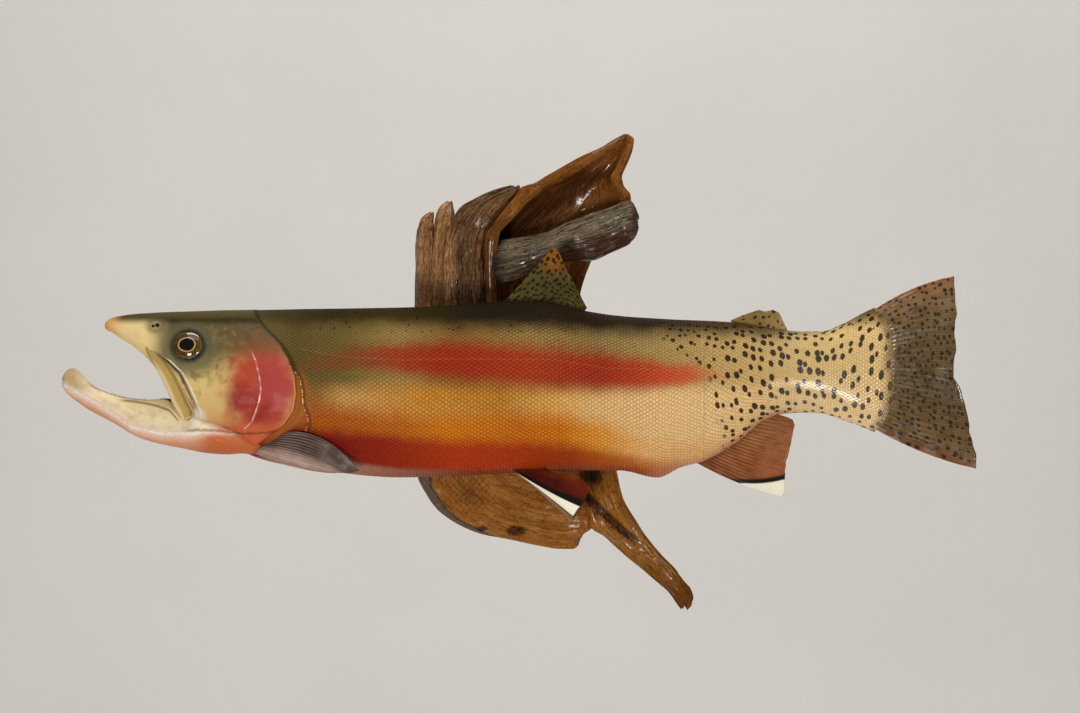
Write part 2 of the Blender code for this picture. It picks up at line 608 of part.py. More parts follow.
# Curled wing: up, left edge, right edge, back, front of the left rim, of the right wall,
# how deep the hollow goes, and how thick the left rim and the right wall are
CURL = (
    (58.4, -37.7, 38.5, 4.0, 48.0, 34.0, 14.0, 10.0, 9.0),
    (82.9, -37.7, 43.2, 4.0, 49.0, 34.0, 13.0, 10.0, 9.0),
    (96.1, -37.9, 47.6, 4.0, 50.0, 34.0, 12.0, 10.0, 9.0),
    (115.4, -38.1, 56.8, 4.0, 52.0, 35.0, 12.0, 11.0, 9.0),
    (127.6, -37.7, 66.9, 5.0, 53.0, 37.0, 12.0, 12.0, 9.0),
    (141.8, -27.6, 74.0, 6.0, 53.0, 40.0, 13.0, 14.0, 9.0),
    (153.0, -18.4, 83.6, 8.0, 53.0, 42.0, 15.0, 16.0, 9.0),
    (162.1, -11.3, 82.8, 10.0, 52.0, 42.0, 18.0, 19.0, 9.0),
    (167.8, -7.6, 78.1, 12.0, 51.0, 42.0, 20.0, 21.0, 9.0),
    (171.3, 3.9, 76.7, 13.0, 51.0, 42.0, 21.0, 20.0, 9.0),
    (175.9, 11.5, 75.9, 15.0, 51.0, 42.0, 23.0, 21.0, 9.0),
    (184.1, 25.7, 79.1, 18.0, 50.0, 42.0, 27.0, 21.0, 8.0),
    (193.0, 41.5, 83.2, 22.0, 48.0, 42.0, 31.0, 17.0, 8.0),
    (200.7, 58.0, 85.4, 26.0, 46.0, 42.0, 36.0, 11.0, 7.0),
    (208.2, 70.6, 86.2, 30.0, 44.0, 41.0, 40.0, 6.5, 6.0),
    (212.1, 77.7, 81.6, 33.0, 41.0, 39.0, 38.0, 1.8, 1.6),
)
# Branch stub: along, upper edge, lower edge, middle and half depth (out from the wall)
BRANCH = (
    (-36.6, 122.2, 86.7, 34.0, 13.0), (-20.4, 124.6, 88.8, 44.0, 15.0), (-3.1, 127.0, 94.8, 50.0, 16.0),
    (11.0, 129.7, 99.9, 53.0, 16.0), (29.3, 137.9, 105.4, 55.0, 16.0), (51.5, 145.7, 106.4, 57.0, 17.0),
    (65.7, 150.3, 112.4, 58.0, 18.0), (77.0, 155.2, 118.0, 58.0, 18.0), (82.5, 156.4, 120.8, 58.0, 17.0),
    (86.6, 151.4, 126.0, 58.0, 14.0), (88.8, 144.0, 132.6, 58.0, 9.0),
)


def upright(name, table, count, grow=0.0, flat_back=False, sides=12):
    """Piece of wood drawn through level sections."""
    left, right, back, front = [smooth_curve(table, i) for i in range(1, 5)]
    ends = (table[0][0], table[-1][0])
    rings = []
    for share in spread(0.0, 1.0, count):
        z = ends[0] + (ends[1] - ends[0]) * share
        cx = (left(z) + right(z)) / 2.0
        hx = (right(z) - left(z)) / 2.0 + grow
        cy = (back(z) + front(z)) / 2.0
        hy = (front(z) - back(z)) / 2.0 + grow
        ring = []
        for i in range(sides):
            turn = 2.0 * math.pi * i / sides
            ex = math.copysign(abs(math.cos(turn)) ** WOOD_FILL, math.cos(turn))
            ey = math.copysign(abs(math.sin(turn)) ** WOOD_FILL, math.sin(turn))
            y = -cy + hy * ey
            if flat_back and ey > 0:
                y = 0.0
            ring.append((cx + hx * ex, y, z))
        rings.append(ring)
    return loft(name, rings)


def curl_mesh(name, count=15, arc=8):
    """The curled wing: each level section is a C, open towards the viewer."""
    curves = [smooth_curve(CURL, i) for i in range(1, 9)]
    rings = []
    for z in spread(CURL[0][0], CURL[-1][0], count):
        left, right, back, rim_left, rim_right, hollow, wall_left, wall_right = [c(z) for c in curves]
        outer, inner = [], []
        for i in range(arc):
            share = i / (arc - 1)
            turn = math.pi * share
            rim = rim_left + (rim_right - rim_left) * share
            sweep = math.sin(turn)
            ease = (1.0 - math.copysign(abs(math.cos(turn)) ** 0.8, math.cos(turn))) / 2.0
            outer.append((left + (right - left) * ease, -rim + (rim - back) * sweep ** 0.6, z))
            inner_left = left + wall_left
            inner_right = right - wall_right
            x = inner_left + (inner_right - inner_left) * ease
            inner.append((x, -rim + (rim - hollow) * sweep ** 0.7, z))
        rings.append(outer + inner[::-1])
    return loft(name, rings)


def branch_mesh(name, grow=0.0, count=12, sides=12):
    upper, lower, depth, half = [smooth_curve(BRANCH, i) for i in range(1, 5)]
    rings = []
    for x in spread(BRANCH[0][0], BRANCH[-1][0], count):
        cz = (upper(x) + lower(x)) / 2.0
        hz = (upper(x) - lower(x)) / 2.0 + grow
        ring = []
        for i in range(sides):
            turn = 2.0 * math.pi * i / sides
            ring.append((x, -depth(x) + (half(x) + grow) * math.cos(turn), cz + hz * math.sin(turn)))
        rings.append(ring)
    return loft(name, rings)


slab = new_object("driftwood_slab", upright("slab", SLAB, 10), WOOD, TROUT)
for name, table in (("slat_b", SLAT_B), ("slat_a", SLAT_A)):
    boolean(slab, cutter(name, upright(name, table, 7)), "UNION")
shade(slab)
slab_grown = cutter("slab_grown", upright("slab_grown", SLAB, 10, GAP))

branch = new_object("driftwood_branch", branch_mesh("driftwood_branch"), WOOD, TROUT)
boolean(branch, slab_grown)
shade(branch)
branch_grown = cutter("branch_grown", branch_mesh("branch_grown", GAP))

curl = new_object("driftwood_curl", curl_mesh("driftwood_curl"), WOOD_DARK, TROUT)
boolean(curl, slab_grown)
boolean(curl, branch_grown)
shade(curl)

core = new_object("driftwood_core", upright("driftwood_core", CORE, 6, 0.0, True), WOOD, TROUT)
shade(core)
lower_wood = new_object("driftwood_lower", upright("driftwood_lower", LOWER, 12), WOOD, TROUT)
boolean(lower_wood, cutter("root_grown", upright("root_grown", ROOT, 15, GAP)))
shade(lower_wood)
root = new_object("driftwood_root", upright("driftwood_root", ROOT, 15), WOOD_DARK, TROUT)
shade(root)

# ---------------------------------------------------------------- block between fish and wood
BLOCK = ((-34.0, -20.0), (22.0, -20.0), (22.0, 14.0), (-34.0, 14.0))
block = new_object("mount_block", prism("mount_block", BLOCK, -76.0, -38.0), WOOD_DARK, TROUT)
boolean(block, BODY_GROWN)
boolean(block, cutter("core_grown", upright("core_grown", CORE, 6, GAP, True)))
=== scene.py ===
"""Mounted golden trout on driftwood, life size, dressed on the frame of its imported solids."""
from bisect import bisect_right
from functools import cache
from math import atan2, copysign, cos, dist, exp, hypot, pi, radians, sin, sqrt

import bmesh
import bpy
from mathutils import Matrix, Vector, noise


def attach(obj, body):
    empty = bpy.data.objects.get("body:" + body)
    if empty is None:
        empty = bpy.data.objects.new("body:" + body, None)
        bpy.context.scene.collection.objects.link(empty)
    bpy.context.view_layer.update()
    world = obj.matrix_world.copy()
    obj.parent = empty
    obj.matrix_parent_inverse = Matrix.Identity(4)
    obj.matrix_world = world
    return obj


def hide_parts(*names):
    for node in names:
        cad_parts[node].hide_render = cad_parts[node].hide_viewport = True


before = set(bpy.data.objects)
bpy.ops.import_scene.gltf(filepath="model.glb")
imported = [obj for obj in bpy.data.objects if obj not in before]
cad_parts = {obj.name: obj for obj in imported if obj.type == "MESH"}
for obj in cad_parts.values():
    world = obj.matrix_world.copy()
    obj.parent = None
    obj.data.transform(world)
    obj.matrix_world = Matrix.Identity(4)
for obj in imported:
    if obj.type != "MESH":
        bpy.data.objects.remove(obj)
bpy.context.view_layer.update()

# ------------------------------------------------------------------ skin of head and body
# Tanned trout skin drawn over a carved foam body. It is one sheet from the snout to the
# root of the tail fin, with the bare, bony head in front and the scaled flank behind.
MM = 0.001
MID_DEPTH = 105
TAIL_SWING, SWING_START, FLARE_X, TAIL_BASE_X = 12, 40, 254, 297
MOUTH_END_X, GILL_TOP_X, HEAD_END_X = -264, -226, -173
BACK_FILL = 0.86
BODY = (  # along, back, keel, half width, level of the widest part, fullness below it
    (-347.3, 54.2, 50.6, 2.4, 0.5, 0.9), (-345.6, 56.6, 48.9, 6, 0.45, 0.7),
    (-341, 59.2, 45.4, 10.5, 0.42, 0.6), (-333, 60.9, 40, 15, 0.38, 0.5),
    (-323, 62.3, 33.6, 19.5, 0.34, 0.45), (-310, 63.1, 21.8, 24, 0.34, 0.42),
    (-300, 63.7, 8.4, 26.8, 0.38, 0.42), (-292, 64, -9.6, 28.8, 0.42, 0.45),
    (-281, 64.3, -24, 30.8, 0.45, 0.5), (-266, 64.8, -30.2, 33, 0.47, 0.52),
    (-246, 65.4, -36, 35.8, 0.48, 0.58), (-234, 65.6, -50, 37.2, 0.5, 0.7),
    (-212, 66, -58.8, 39, 0.5, 0.82), (-180, 66.6, -64.3, 40.8, 0.5, 0.86),
    (-106, 67.8, -71.5, 43.6, 0.5, 0.88), (-60, 69.9, -70.2, 44.6, 0.5, 0.88),
    (-8, 73.4, -67.6, 44.2, 0.5, 0.88), (14, 72.6, -66.6, 43.2, 0.5, 0.88),
    (41, 65.8, -65.8, 41.2, 0.51, 0.88), (74, 60.9, -65.9, 38, 0.52, 0.88),
    (104, 58.8, -71.6, 34.2, 0.53, 0.86), (124, 57.7, -62.9, 31.4, 0.53, 0.86),
    (141, 57.1, -58.4, 28.8, 0.53, 0.88), (172, 55.2, -40.6, 23.6, 0.53, 0.9),
    (191, 52, -24.8, 20.6, 0.52, 0.95), (204, 49.9, -20, 18.8, 0.52, 0.98),
    (221, 48.2, -18.8, 16.4, 0.52, 1), (238, 48.4, -19.7, 13.8, 0.52, 1), (254, 54, -24.4, 11, 0.52, 1),
    (270, 62.4, -30.2, 8, 0.52, 1), (286, 70.3, -36.8, 5.2, 0.52, 1), (297, 76, -41, 2.6, 0.52, 1),
)
CAUDAL_ROOT = (
    (280.5, 73), (290, 61.4), (294.8, 43.3), (296.4, 23.3), (296.4, 9.8), (294.8, -5.7), (290, -24.5),
    (280.5, -40),
)
GILL_EDGE = (
    (-230.1, 74), (-221.6, 57), (-214.1, 48.2), (-202.1, 36.4), (-194.7, 24), (-189.7, 11), (-188.5, -3),
    (-190.7, -16), (-198.1, -27), (-210.1, -36), (-222.1, -45), (-239.1, -59),
)
PREOPERCLE = ((-226, 32), (-222, 24), (-219, 12), (-217.6, 0), (-220, -12), (-225, -25), (-233, -33))
CHEEK_FOLD = ((-301, 29), (-293, 24), (-283, 14.5), (-277, 3), (-273, -6), (-268.6, -17.5), (-268, -24))
BROW = ((-316, 47), (-300, 50), (-286, 52), (-270, 51), (-250, 48), (-232, 50))
SHOULDER = (
    (-197, 24), (-193.6, 18.8), (-186.5, 10.2), (-184.3, 0), (-183.5, -11.4), (-179.2, -24.5), (-182, -36),
)
RIDGES = (  # each line with its rises and furrows: height, how far past the line, width
    (CHEEK_FOLD, (1.2, 1.3, 0.9), (-1.6, -0.8, 0.9)),
    (PREOPERCLE, (1, 0, 0.8), (-0.5, 2.2, 1.2)),
    (GILL_EDGE, (-1.9, 1.6, 2.2)),
    (SHOULDER, (0.7, 0, 0.9), (-0.4, 2, 1)),
    (BROW, (0.4, 0, 3.5), (-0.3, -6, 3)),
)
EYE_AT = (-277, 36.2)
NOSTRILS = ((-306.4, 52.2, 1.1), (-302.9, 52.9, 1.5))
MOUTH_ROOF = ((-345, 0), (-340, 3), (-326, 8), (-312, 12), (-298, 17), (-288, 14), (-278, 0))


def curve(rows, column=1):
    """A smooth curve through one column of a table that never swings past its rows."""
    rows = sorted(rows)
    along = [row[0] for row in rows]
    value = [row[column] for row in rows]
    step = [b - a for a, b in zip(along, along[1:])]
    slope = [(b - a) / s for a, b, s in zip(value, value[1:], step)]
    inner = [2 * a * b / (a + b) if a * b > 0 else 0 for a, b in zip(slope, slope[1:])]
    tangent = [slope[0]] + inner + [slope[-1]]

    def at(x):
        x = min(max(x, along[0]), along[-1])
        i = min(bisect_right(along, x) - 1, len(step) - 1)
        t = (x - along[i]) / step[i]
        rise = t * t * (3 - 2 * t)
        lean = t * (1 - t) ** 2 * tangent[i] - t * t * (1 - t) * tangent[i + 1]
        return value[i] * (1 - rise) + value[i + 1] * rise + lean * step[i]

    return at


def curves(table):
    """One smooth curve for each column of a table after its first."""
    return [curve(table, column) for column in range(1, len(table[0]))]


def turns(count):
    """Angles once round, from the top."""
    return [2 * pi * i / count for i in range(count)]


def ease(low, high, x):
    """Soft step from 0 at low to 1 at high."""
    t = min(max((x - low) / (high - low), 0), 1)
    return t * t * (3 - 2 * t)


def bump(gap, width):
    """1 on a ridge line, falling to 0 on both sides of it."""
    return exp(-(gap / width) ** 2)


def spread(start, end, count):
    """Even steps from start to end, both included."""
    return [start + (end - start) * i / (count - 1) for i in range(count)]


def waver(*place):
    """Smooth noise from -1 to 1 at a place."""
    return noise.noise(place)


def past_line(points, x, z):
    """How far (x, z) lies from a line of points: plus on its left side, minus on its right."""
    best = 1e9
    for (ax, az), (bx, bz) in zip(points, points[1:]):
        dx, dz = bx - ax, bz - az
        t = min(max(((x - ax) * dx + (z - az) * dz) / (dx * dx + dz * dz), 0), 1)
        gap = hypot(x - ax - dx * t, z - az - dz * t)
        if gap < abs(best):
            best = copysign(gap, dx * (z - az) - dz * (x - ax))
    return best


def new_form(*marks):
    """An empty mesh whose vertices carry named values."""
    form = bmesh.new()
    for mark in marks:
        form.verts.layers.float.new(mark)
    return form


def wrap(form, rings):
    """Adds a tube through rings of points in mm, with its seam merged.

    What follows x, y and z in a point goes to the form's own named values.
    """
    around = len(rings[0])
    grid = bmesh.ops.create_grid(form, x_segments=around, y_segments=len(rings) - 1, size=1)["verts"]
    layers = form.verts.layers.float.values()
    for i, vert in enumerate(grid):
        row, place = divmod(i, around + 1)
        point = rings[row][place % around]
        vert.co = Vector(point[:3]) * MM
        for layer, value in zip(layers, point[3:]):
            vert[layer] = value
    bmesh.ops.remove_doubles(form, verts=grid, dist=1e-6)


def closed(rings):
    """The rings with each end drawn in to a point at its middle."""
    ends = []
    for ring in (rings[0], rings[-1]):
        ends.append([tuple(sum(marks) / len(ring) for marks in zip(*ring))] * len(ring))
    return [ends[0]] + rings + [ends[1]]


BACK, KEEL, GIRTH, BELT, FILL = curves(BODY)
ROOF_LIFT = curve(MOUTH_ROOF)
TAIL_END = curve([(z, x) for x, z in CAUDAL_ROOT])
GILL_X = curve([(z, x) for x, z in GILL_EDGE])
SHOULDER_X = curve([(z, x) for x, z in SHOULDER])


def middle(x):
    """Where the fish's middle plane lies: straight, with the tail swung out."""
    past = max(0, x - SWING_START) / (TAIL_BASE_X - SWING_START)
    return -MID_DEPTH - TAIL_SWING * past * past


@cache
def body_shape(x):
    return BACK(x), KEEL(x), GIRTH(x), BELT(x), FILL(x)


def oval(top, bottom, half, belt, keel_fill, turn, back_fill=BACK_FILL):
    """One point of a cross-section: out from the middle plane, and up."""
    up, out = cos(turn), sin(turn)
    level = bottom + (top - bottom) * belt
    fill = back_fill if up > 0 else keel_fill
    reach = top - level if up > 0 else level - bottom
    return copysign(abs(out) ** fill, out) * half, level + reach * up


def flank(x, z):
    """Half width of the bare body at a height."""
    top, keel = BACK(x), KEEL(x)
    level = keel + (top - keel) * BELT(x)
    reach = top - level if z > level else level - keel
    rise = min(1, abs(z - level) / reach)
    return GIRTH(x) * sqrt(1 - rise * rise) ** (BACK_FILL if z > level else FILL(x))


def scaled(x, z):
    """1 where the skin carries scales, 0 on the bare head."""
    return ease(0, 5, x - max(GILL_X(z), GILL_TOP_X))


def head_relief(x, z):
    """How far the bones and folds of the head stand out of a plain oval."""
    eye = hypot(x - EYE_AT[0], z - EYE_AT[1])
    out = -5 * (1 - ease(9.8, 12.2, eye)) + 0.9 * bump(eye - 13.2, 1.3) - 0.5 * bump(eye - 16.4, 1.6)
    out += 0.4 * bump(eye - 19.6, 1.8)
    for at_x, at_z, radius in NOSTRILS:
        hole = hypot(x - at_x, z - at_z)
        out += 0.35 * bump(hole - radius - 1.6, 1) - 2.4 * bump(hole, radius)
    for line, *waves in RIDGES:
        away = past_line(line, x, z)
        out += sum(rise * bump(away - at, wide) for rise, at, wide in waves)
    low = ease(-30, -38, z) * ease(-272, -262, x)
    out += 0.35 * low * sin(1.25 * (z + 0.12 * x) + 0.5 * waver(x / 14, z / 6, 0))
    bony = ease(-190, -200, x)
    out += bony * (0.45 * waver(x / 11, z / 11, 2) + 0.22 * waver(x / 4.5, z / 4.5, 5))
    return out


def on_body(x, turn, lift=0):
    """A point of the skin a turn round from the back, with its share in the mouth's lining, how
    far round it lies in mm, and the number of its part."""
    past = max(0, (x - FLARE_X) / (TAIL_BASE_X - FLARE_X))
    if past:
        x += (TAIL_END(oval(*body_shape(x), turn)[1]) - TAIL_BASE_X) * past * past
    shape = body_shape(round(x, 1))
    out, z = oval(*shape, turn)
    side = abs(sin(turn))
    sink = -0.1 - 0.4 * scaled(x, z) + lift
    relief = 0.25 * waver(x / 25, z / 25, copysign(1, out))
    if x < HEAD_END_X:
        relief += head_relief(x, z) * min(1, side * 1.6)
    z += sink * cos(turn)
    out += (sink + relief) * side * copysign(1, out)
    lining = 0
    if x < MOUTH_END_X and cos(turn) < 0:
        share = abs(out) / (0.8 * shape[2])
        lift_here = ROOF_LIFT(x) * max(0, 1 - share * share)
        z += lift_here
        lining = min(1, lift_here / 1.5)
    round_at = (turn - 2 * pi * (turn > pi)) * (shape[2] + (shape[0] - shape[1]) / 2) / 2
    return x, middle(x) - out, z, lining, round_at, 0


head_rows = spread(-346.9, -172, 192)
body_rows = spread(-169, 297, 146)
body_rings = [[on_body(x, turn) for turn in turns(150)] for x in head_rows + body_rows]
tail_end = [(x + 0.6, middle(x), z, *marks) for x, y, z, *marks in body_rings[-1]]
skin = new_form("lining", "round", "part")
wrap(skin, closed(body_rings)[:-1] + [tail_end])

# ------------------------------------------------------------------ lower jaw and throat
# The hooked lower jaw of an old male, cast with its throat folds and set into the head.
# A hard rim of bone carries small teeth round a soft floor with a low tongue.
JAW = (  # along, upper edge, lower edge, half width, level of the widest part, fullness below it
    (-382.6, 8.6, 4.2, 2.4, 0.5, 0.9), (-379.6, 15, -1.2, 5.4, 0.5, 0.8), (-373, 18, -7.2, 7.6, 0.45, 0.75),
    (-367, 14.6, -11.6, 8.8, 0.45, 0.75), (-361, 7.9, -15.8, 9.8, 0.5, 0.75),
    (-348, 2.6, -22.8, 12.4, 0.58, 0.8), (-337, -1, -28.8, 15, 0.6, 0.8),
    (-325, -2.8, -36.2, 18, 0.62, 0.8), (-311, -3.2, -41.8, 21.4, 0.62, 0.8),
    (-297, -1, -45.2, 24.2, 0.6, 0.8), (-281, -10, -48.2, 26.8, 0.5, 0.78),
    (-264, -20, -51.5, 29.4, 0.45, 0.76), (-247, -26, -52.7, 30.6, 0.42, 0.76),
    (-235, -30, -52, 29.8, 0.42, 0.78), (-223, -36, -53, 26, 0.5, 0.8), (-208, -42, -50, 18, 0.5, 0.8),
)
JAW_RIM_FILL = 0.6
MOUTH_FLOOR = ((-362, 0), (-352, 4), (-340, 7), (-326, 10), (-312, 13), (-298, 14), (-286, 8), (-278, 0))
JAW_BONE = (
    (-380, 5), (-375.7, 2.7), (-364, -3.6), (-352.5, -9.4), (-335.2, -20.6), (-323.9, -29), (-302, -33.7),
    (-280.1, -34.5), (-258.3, -33), (-236, -33.5),
)
JAW_FOLD = ((-334, -8.2), (-322, -9.2), (-312, -10.7), (-302, -13), (-292.8, -16.3), (-286, -24))
JAW_SHAPE = curves(JAW)
FLOOR_DROP = curve(MOUTH_FLOOR)


def jaw_ring(x, sides):
    shape = [at(x) for at in JAW_SHAPE]
    drop = FLOOR_DROP(x) if x > MOUTH_FLOOR[0][0] else 0
    ring = []
    for turn in turns(sides):
        out, z = oval(*shape, turn, JAW_RIM_FILL)
        side = abs(sin(turn))
        bone = past_line(JAW_BONE, x, z)
        relief = 0.8 * bump(bone - 0.8, 1.3) - 0.9 * bump(bone + 2, 1.5)
        relief += 0.35 * waver(x / 9, z / 7, 1)
        relief += 0.4 * ease(-266, -254, x) * sin(z + 0.6 * x + waver(x / 8, z / 8, 2))
        fold = past_line(JAW_FOLD, x, z)
        relief += 0.5 * bump(fold - 1.8, 1.2) - bump(fold, 0.9)
        z -= 0.1 * cos(turn)
        lining = 0
        if cos(turn) > 0:
            share = abs(out) / (0.84 * shape[2])
            hollow = max(0, 1 - share * share) ** 0.7
            tongue = 3.5 * bump(out, 5) * ease(-344, -330, x)
            z += (tongue - drop) * hollow if drop else 0
            lining = min(1, drop * hollow / 1.5)
        out += relief * side * (1 - lining) * copysign(1, out)
        ring.append((x, -MID_DEPTH - out, z, lining, 0, 1))
    return ring


jaw_rows = spread(-382.2, -365, 20) + spread(-364, -208, 124)
jaw_rings = [jaw_ring(x, 96) for x in jaw_rows]
wrap(skin, closed(jaw_rings))

# ------------------------------------------------------------------ gill covers
# Thin bone plates, one on each cheek, grown into the head in front and free behind, where
# the edge stands a little off the flank.
COVER_FRONT = (
    (-233.8, 48), (-224.8, 30), (-218.8, 14), (-216.8, 0), (-218.8, -13), (-224.3, -26), (-233.8, -34.5),
)


def share_of(points, share):
    """The point a given share of the way along a chain of points."""
    lengths = [dist(a, b) for a, b in zip(points, points[1:])]
    left = share * sum(lengths)
    for a, b, length in zip(points, points[1:], lengths):
        if left <= length:
            return [p + (q - p) * left / length for p, q in zip(a, b)]
        left -= length
    return list(points[-1])


def cover_rings(side, rows=64, across=40):
    rear = GILL_EDGE[1:10]
    rings = []
    for row in range(rows):
        s = row / (rows - 1)
        front_x, front_z = share_of(COVER_FRONT, s)
        rear_x, rear_z = share_of(rear, s)
        held = ease(0, 0.1, s) * ease(1, 0.9, s)
        outer, inner = [], []
        for i in range(across):
            t = i / (across - 1)
            x = front_x - 5 + (rear_x + 4.6 - front_x) * t
            z = front_z + (rear_z - front_z) * t
            fan = 0.12 * sin(26 * s + 3 * waver(3 * s, 2 * t, 0)) * t * (1 - t) * 4
            lift = -1.2 + 2.5 * ease(0, 0.5, t) - 0.5 * ease(0.93, 1, t) + fan
            lift += 0.5 * waver(x / 14, z / 14, 7) * ease(0.2, 0.5, t) * (1 - t)
            lift = lift * held - 1.6 * (1 - held)
            out = flank(x, z) + lift
            outer.append((x, -MID_DEPTH - side * out, z, 0, 0, 0))
            inner.append((x, -MID_DEPTH - side * (out - 1.3 * (1 if i < across - 1 else 0.45)), z, 0, 0, 0))
        rings.append(outer + inner[::-1])
    return rings


for side in (1, -1):
    wrap(skin, cover_rings(side))

# ------------------------------------------------------------------ maxillae
# The long upper jaw bones that lie over the corners of the mouth, each a flat blade with a
# shallow groove down its middle and a rounded lower end.
MAXILLA = (  # up, front edge, rear edge, out from the middle
    (36, -313, -308.4, 22.6), (32, -311.6, -303.6, 24.6), (26, -308.4, -297.8, 27),
    (13, -300.8, -287.6, 30.4), (0, -294.4, -281, 32), (-10, -290, -276.4, 32.6),
    (-18, -285.6, -272.8, 32.8), (-23, -282, -274.4, 32.6), (-24.6, -279.6, -276.6, 32),
)


def maxilla_rings(side, rows=46, around=28):
    front_edge, rear_edge, reach = curves(MAXILLA)
    rings = []
    for z in spread(MAXILLA[0][0], MAXILLA[-1][0], rows):
        ring = []
        for turn in turns(around):
            across = cos(turn)
            x = (front_edge(z) + rear_edge(z)) / 2 + (rear_edge(z) - front_edge(z)) / 2 * across
            groove = 0.8 * bump(across - 0.1, 0.35) if sin(turn) > 0 else 0
            out = reach(z) - 1.4 + 2.2 * copysign(abs(sin(turn)) ** 0.7, sin(turn)) - groove
            out += 0.2 * waver(x / 3, z / 8, 3)
            ring.append((x, -MID_DEPTH - side * out, z, 0, 0, 3 + across))
        rings.append(ring)
    return rings


for side in (1, -1):
    wrap(skin, closed(maxilla_rings(side)))


# The parts above are one painted skin.
SEEN_GAMMA = 2.2


def seen(*rgb):
    """A colour as it is seen, 0 to 255, for a shader."""
    return tuple((c / 255) ** SEEN_GAMMA for c in rgb) + (1,)


class Wire:
    """One value in a finish; arithmetic on it adds the Math nodes."""

    def __init__(self, tree, socket=None):
        self.tree = tree
        self.socket = socket

    def add(self, kind, inputs, out=0, stops=None, **settings):
        """Any other node: its settings first, then the values or links of its sockets."""
        node = self.tree.nodes.new("ShaderNode" + kind)
        for name, value in settings.items():
            setattr(node, name, value)
        if stops:
            ramp = node.color_ramp
            ramp.interpolation = "EASE" if len(stops) < 3 else "LINEAR"
            while len(ramp.elements) < len(stops):
                ramp.elements.new(1)
            for element, (place, colour) in zip(ramp.elements, stops):
                element.position = place
                element.color = colour
        for key, value in inputs.items():
            if isinstance(value, Wire):
                self.tree.links.new(value.socket, node.inputs[key])
            else:
                node.inputs[key].default_value = value
        return Wire(self.tree, node.outputs[out])

    def math(self, operation, *values):
        return self.add("Math", dict(enumerate(values)), operation=operation)

    def __add__(self, other): return self.math("ADD", self, other)
    def __radd__(self, other): return self.math("ADD", other, self)
    def __sub__(self, other): return self.math("SUBTRACT", self, other)
    def __rsub__(self, other): return self.math("SUBTRACT", other, self)
    def __mul__(self, other): return self.math("MULTIPLY", self, other)
    def __rmul__(self, other): return self.math("MULTIPLY", other, self)
    def __truediv__(self, other): return self.math("DIVIDE", self, other)
    def size(self): return self.math("ABSOLUTE", self)
    def root(self): return self.math("SQRT", self)
    def over(self, other): return self.math("MAXIMUM", self, other)

    def wave(self):
        """1, 0 and 1 again over each whole number."""
        return (self * pi).math("COSINE", self * pi).size()

    def rise(self, low, high):
        """Soft step from 0 at low to 1 at high."""
        ends = {"Value": self, "From Min": low, "From Max": high}
        if low > high:
            ends.update({"From Min": high, "From Max": low, "To Min": 1, "To Max": 0})
        return self.add("MapRange", ends, interpolation_type="SMOOTHSTEP")

    def under(self, *layers):
        """This colour with others laid over it in turn, each where its own mask is 1."""
        colour = self
        for tint, mask in layers:
            tint = tint if isinstance(tint, Wire) else seen(*tint)
            colour = self.add("Mix", {0: mask, 6: colour, 7: tint}, out=2, data_type="RGBA")
        return colour

    def lit(self, amount):
        """This colour made darker or lighter."""
        return self.add("VectorMath", {0: self, "Scale": amount}, operation="SCALE")

    def track(self, *rows):
        """Reads a value or a colour off rows of places; this wire is the place."""
        low, high = rows[0][0], rows[-1][0]
        share = (self - low) / (high - low)
        if len(rows[0]) > 2:
            stops = [((row[0] - low) / (high - low), seen(*row[1:])) for row in rows]
            return self.add("ValToRGB", {0: share}, stops=stops)
        least, most = min(v for _, v in rows), max(v for _, v in rows)
        stops = [((x - low) / (high - low), ((v - least) / (most - least),) * 3 + (1,)) for x, v in rows]
        return self.add("ValToRGB", {0: share}, stops=stops) * (most - least) + least


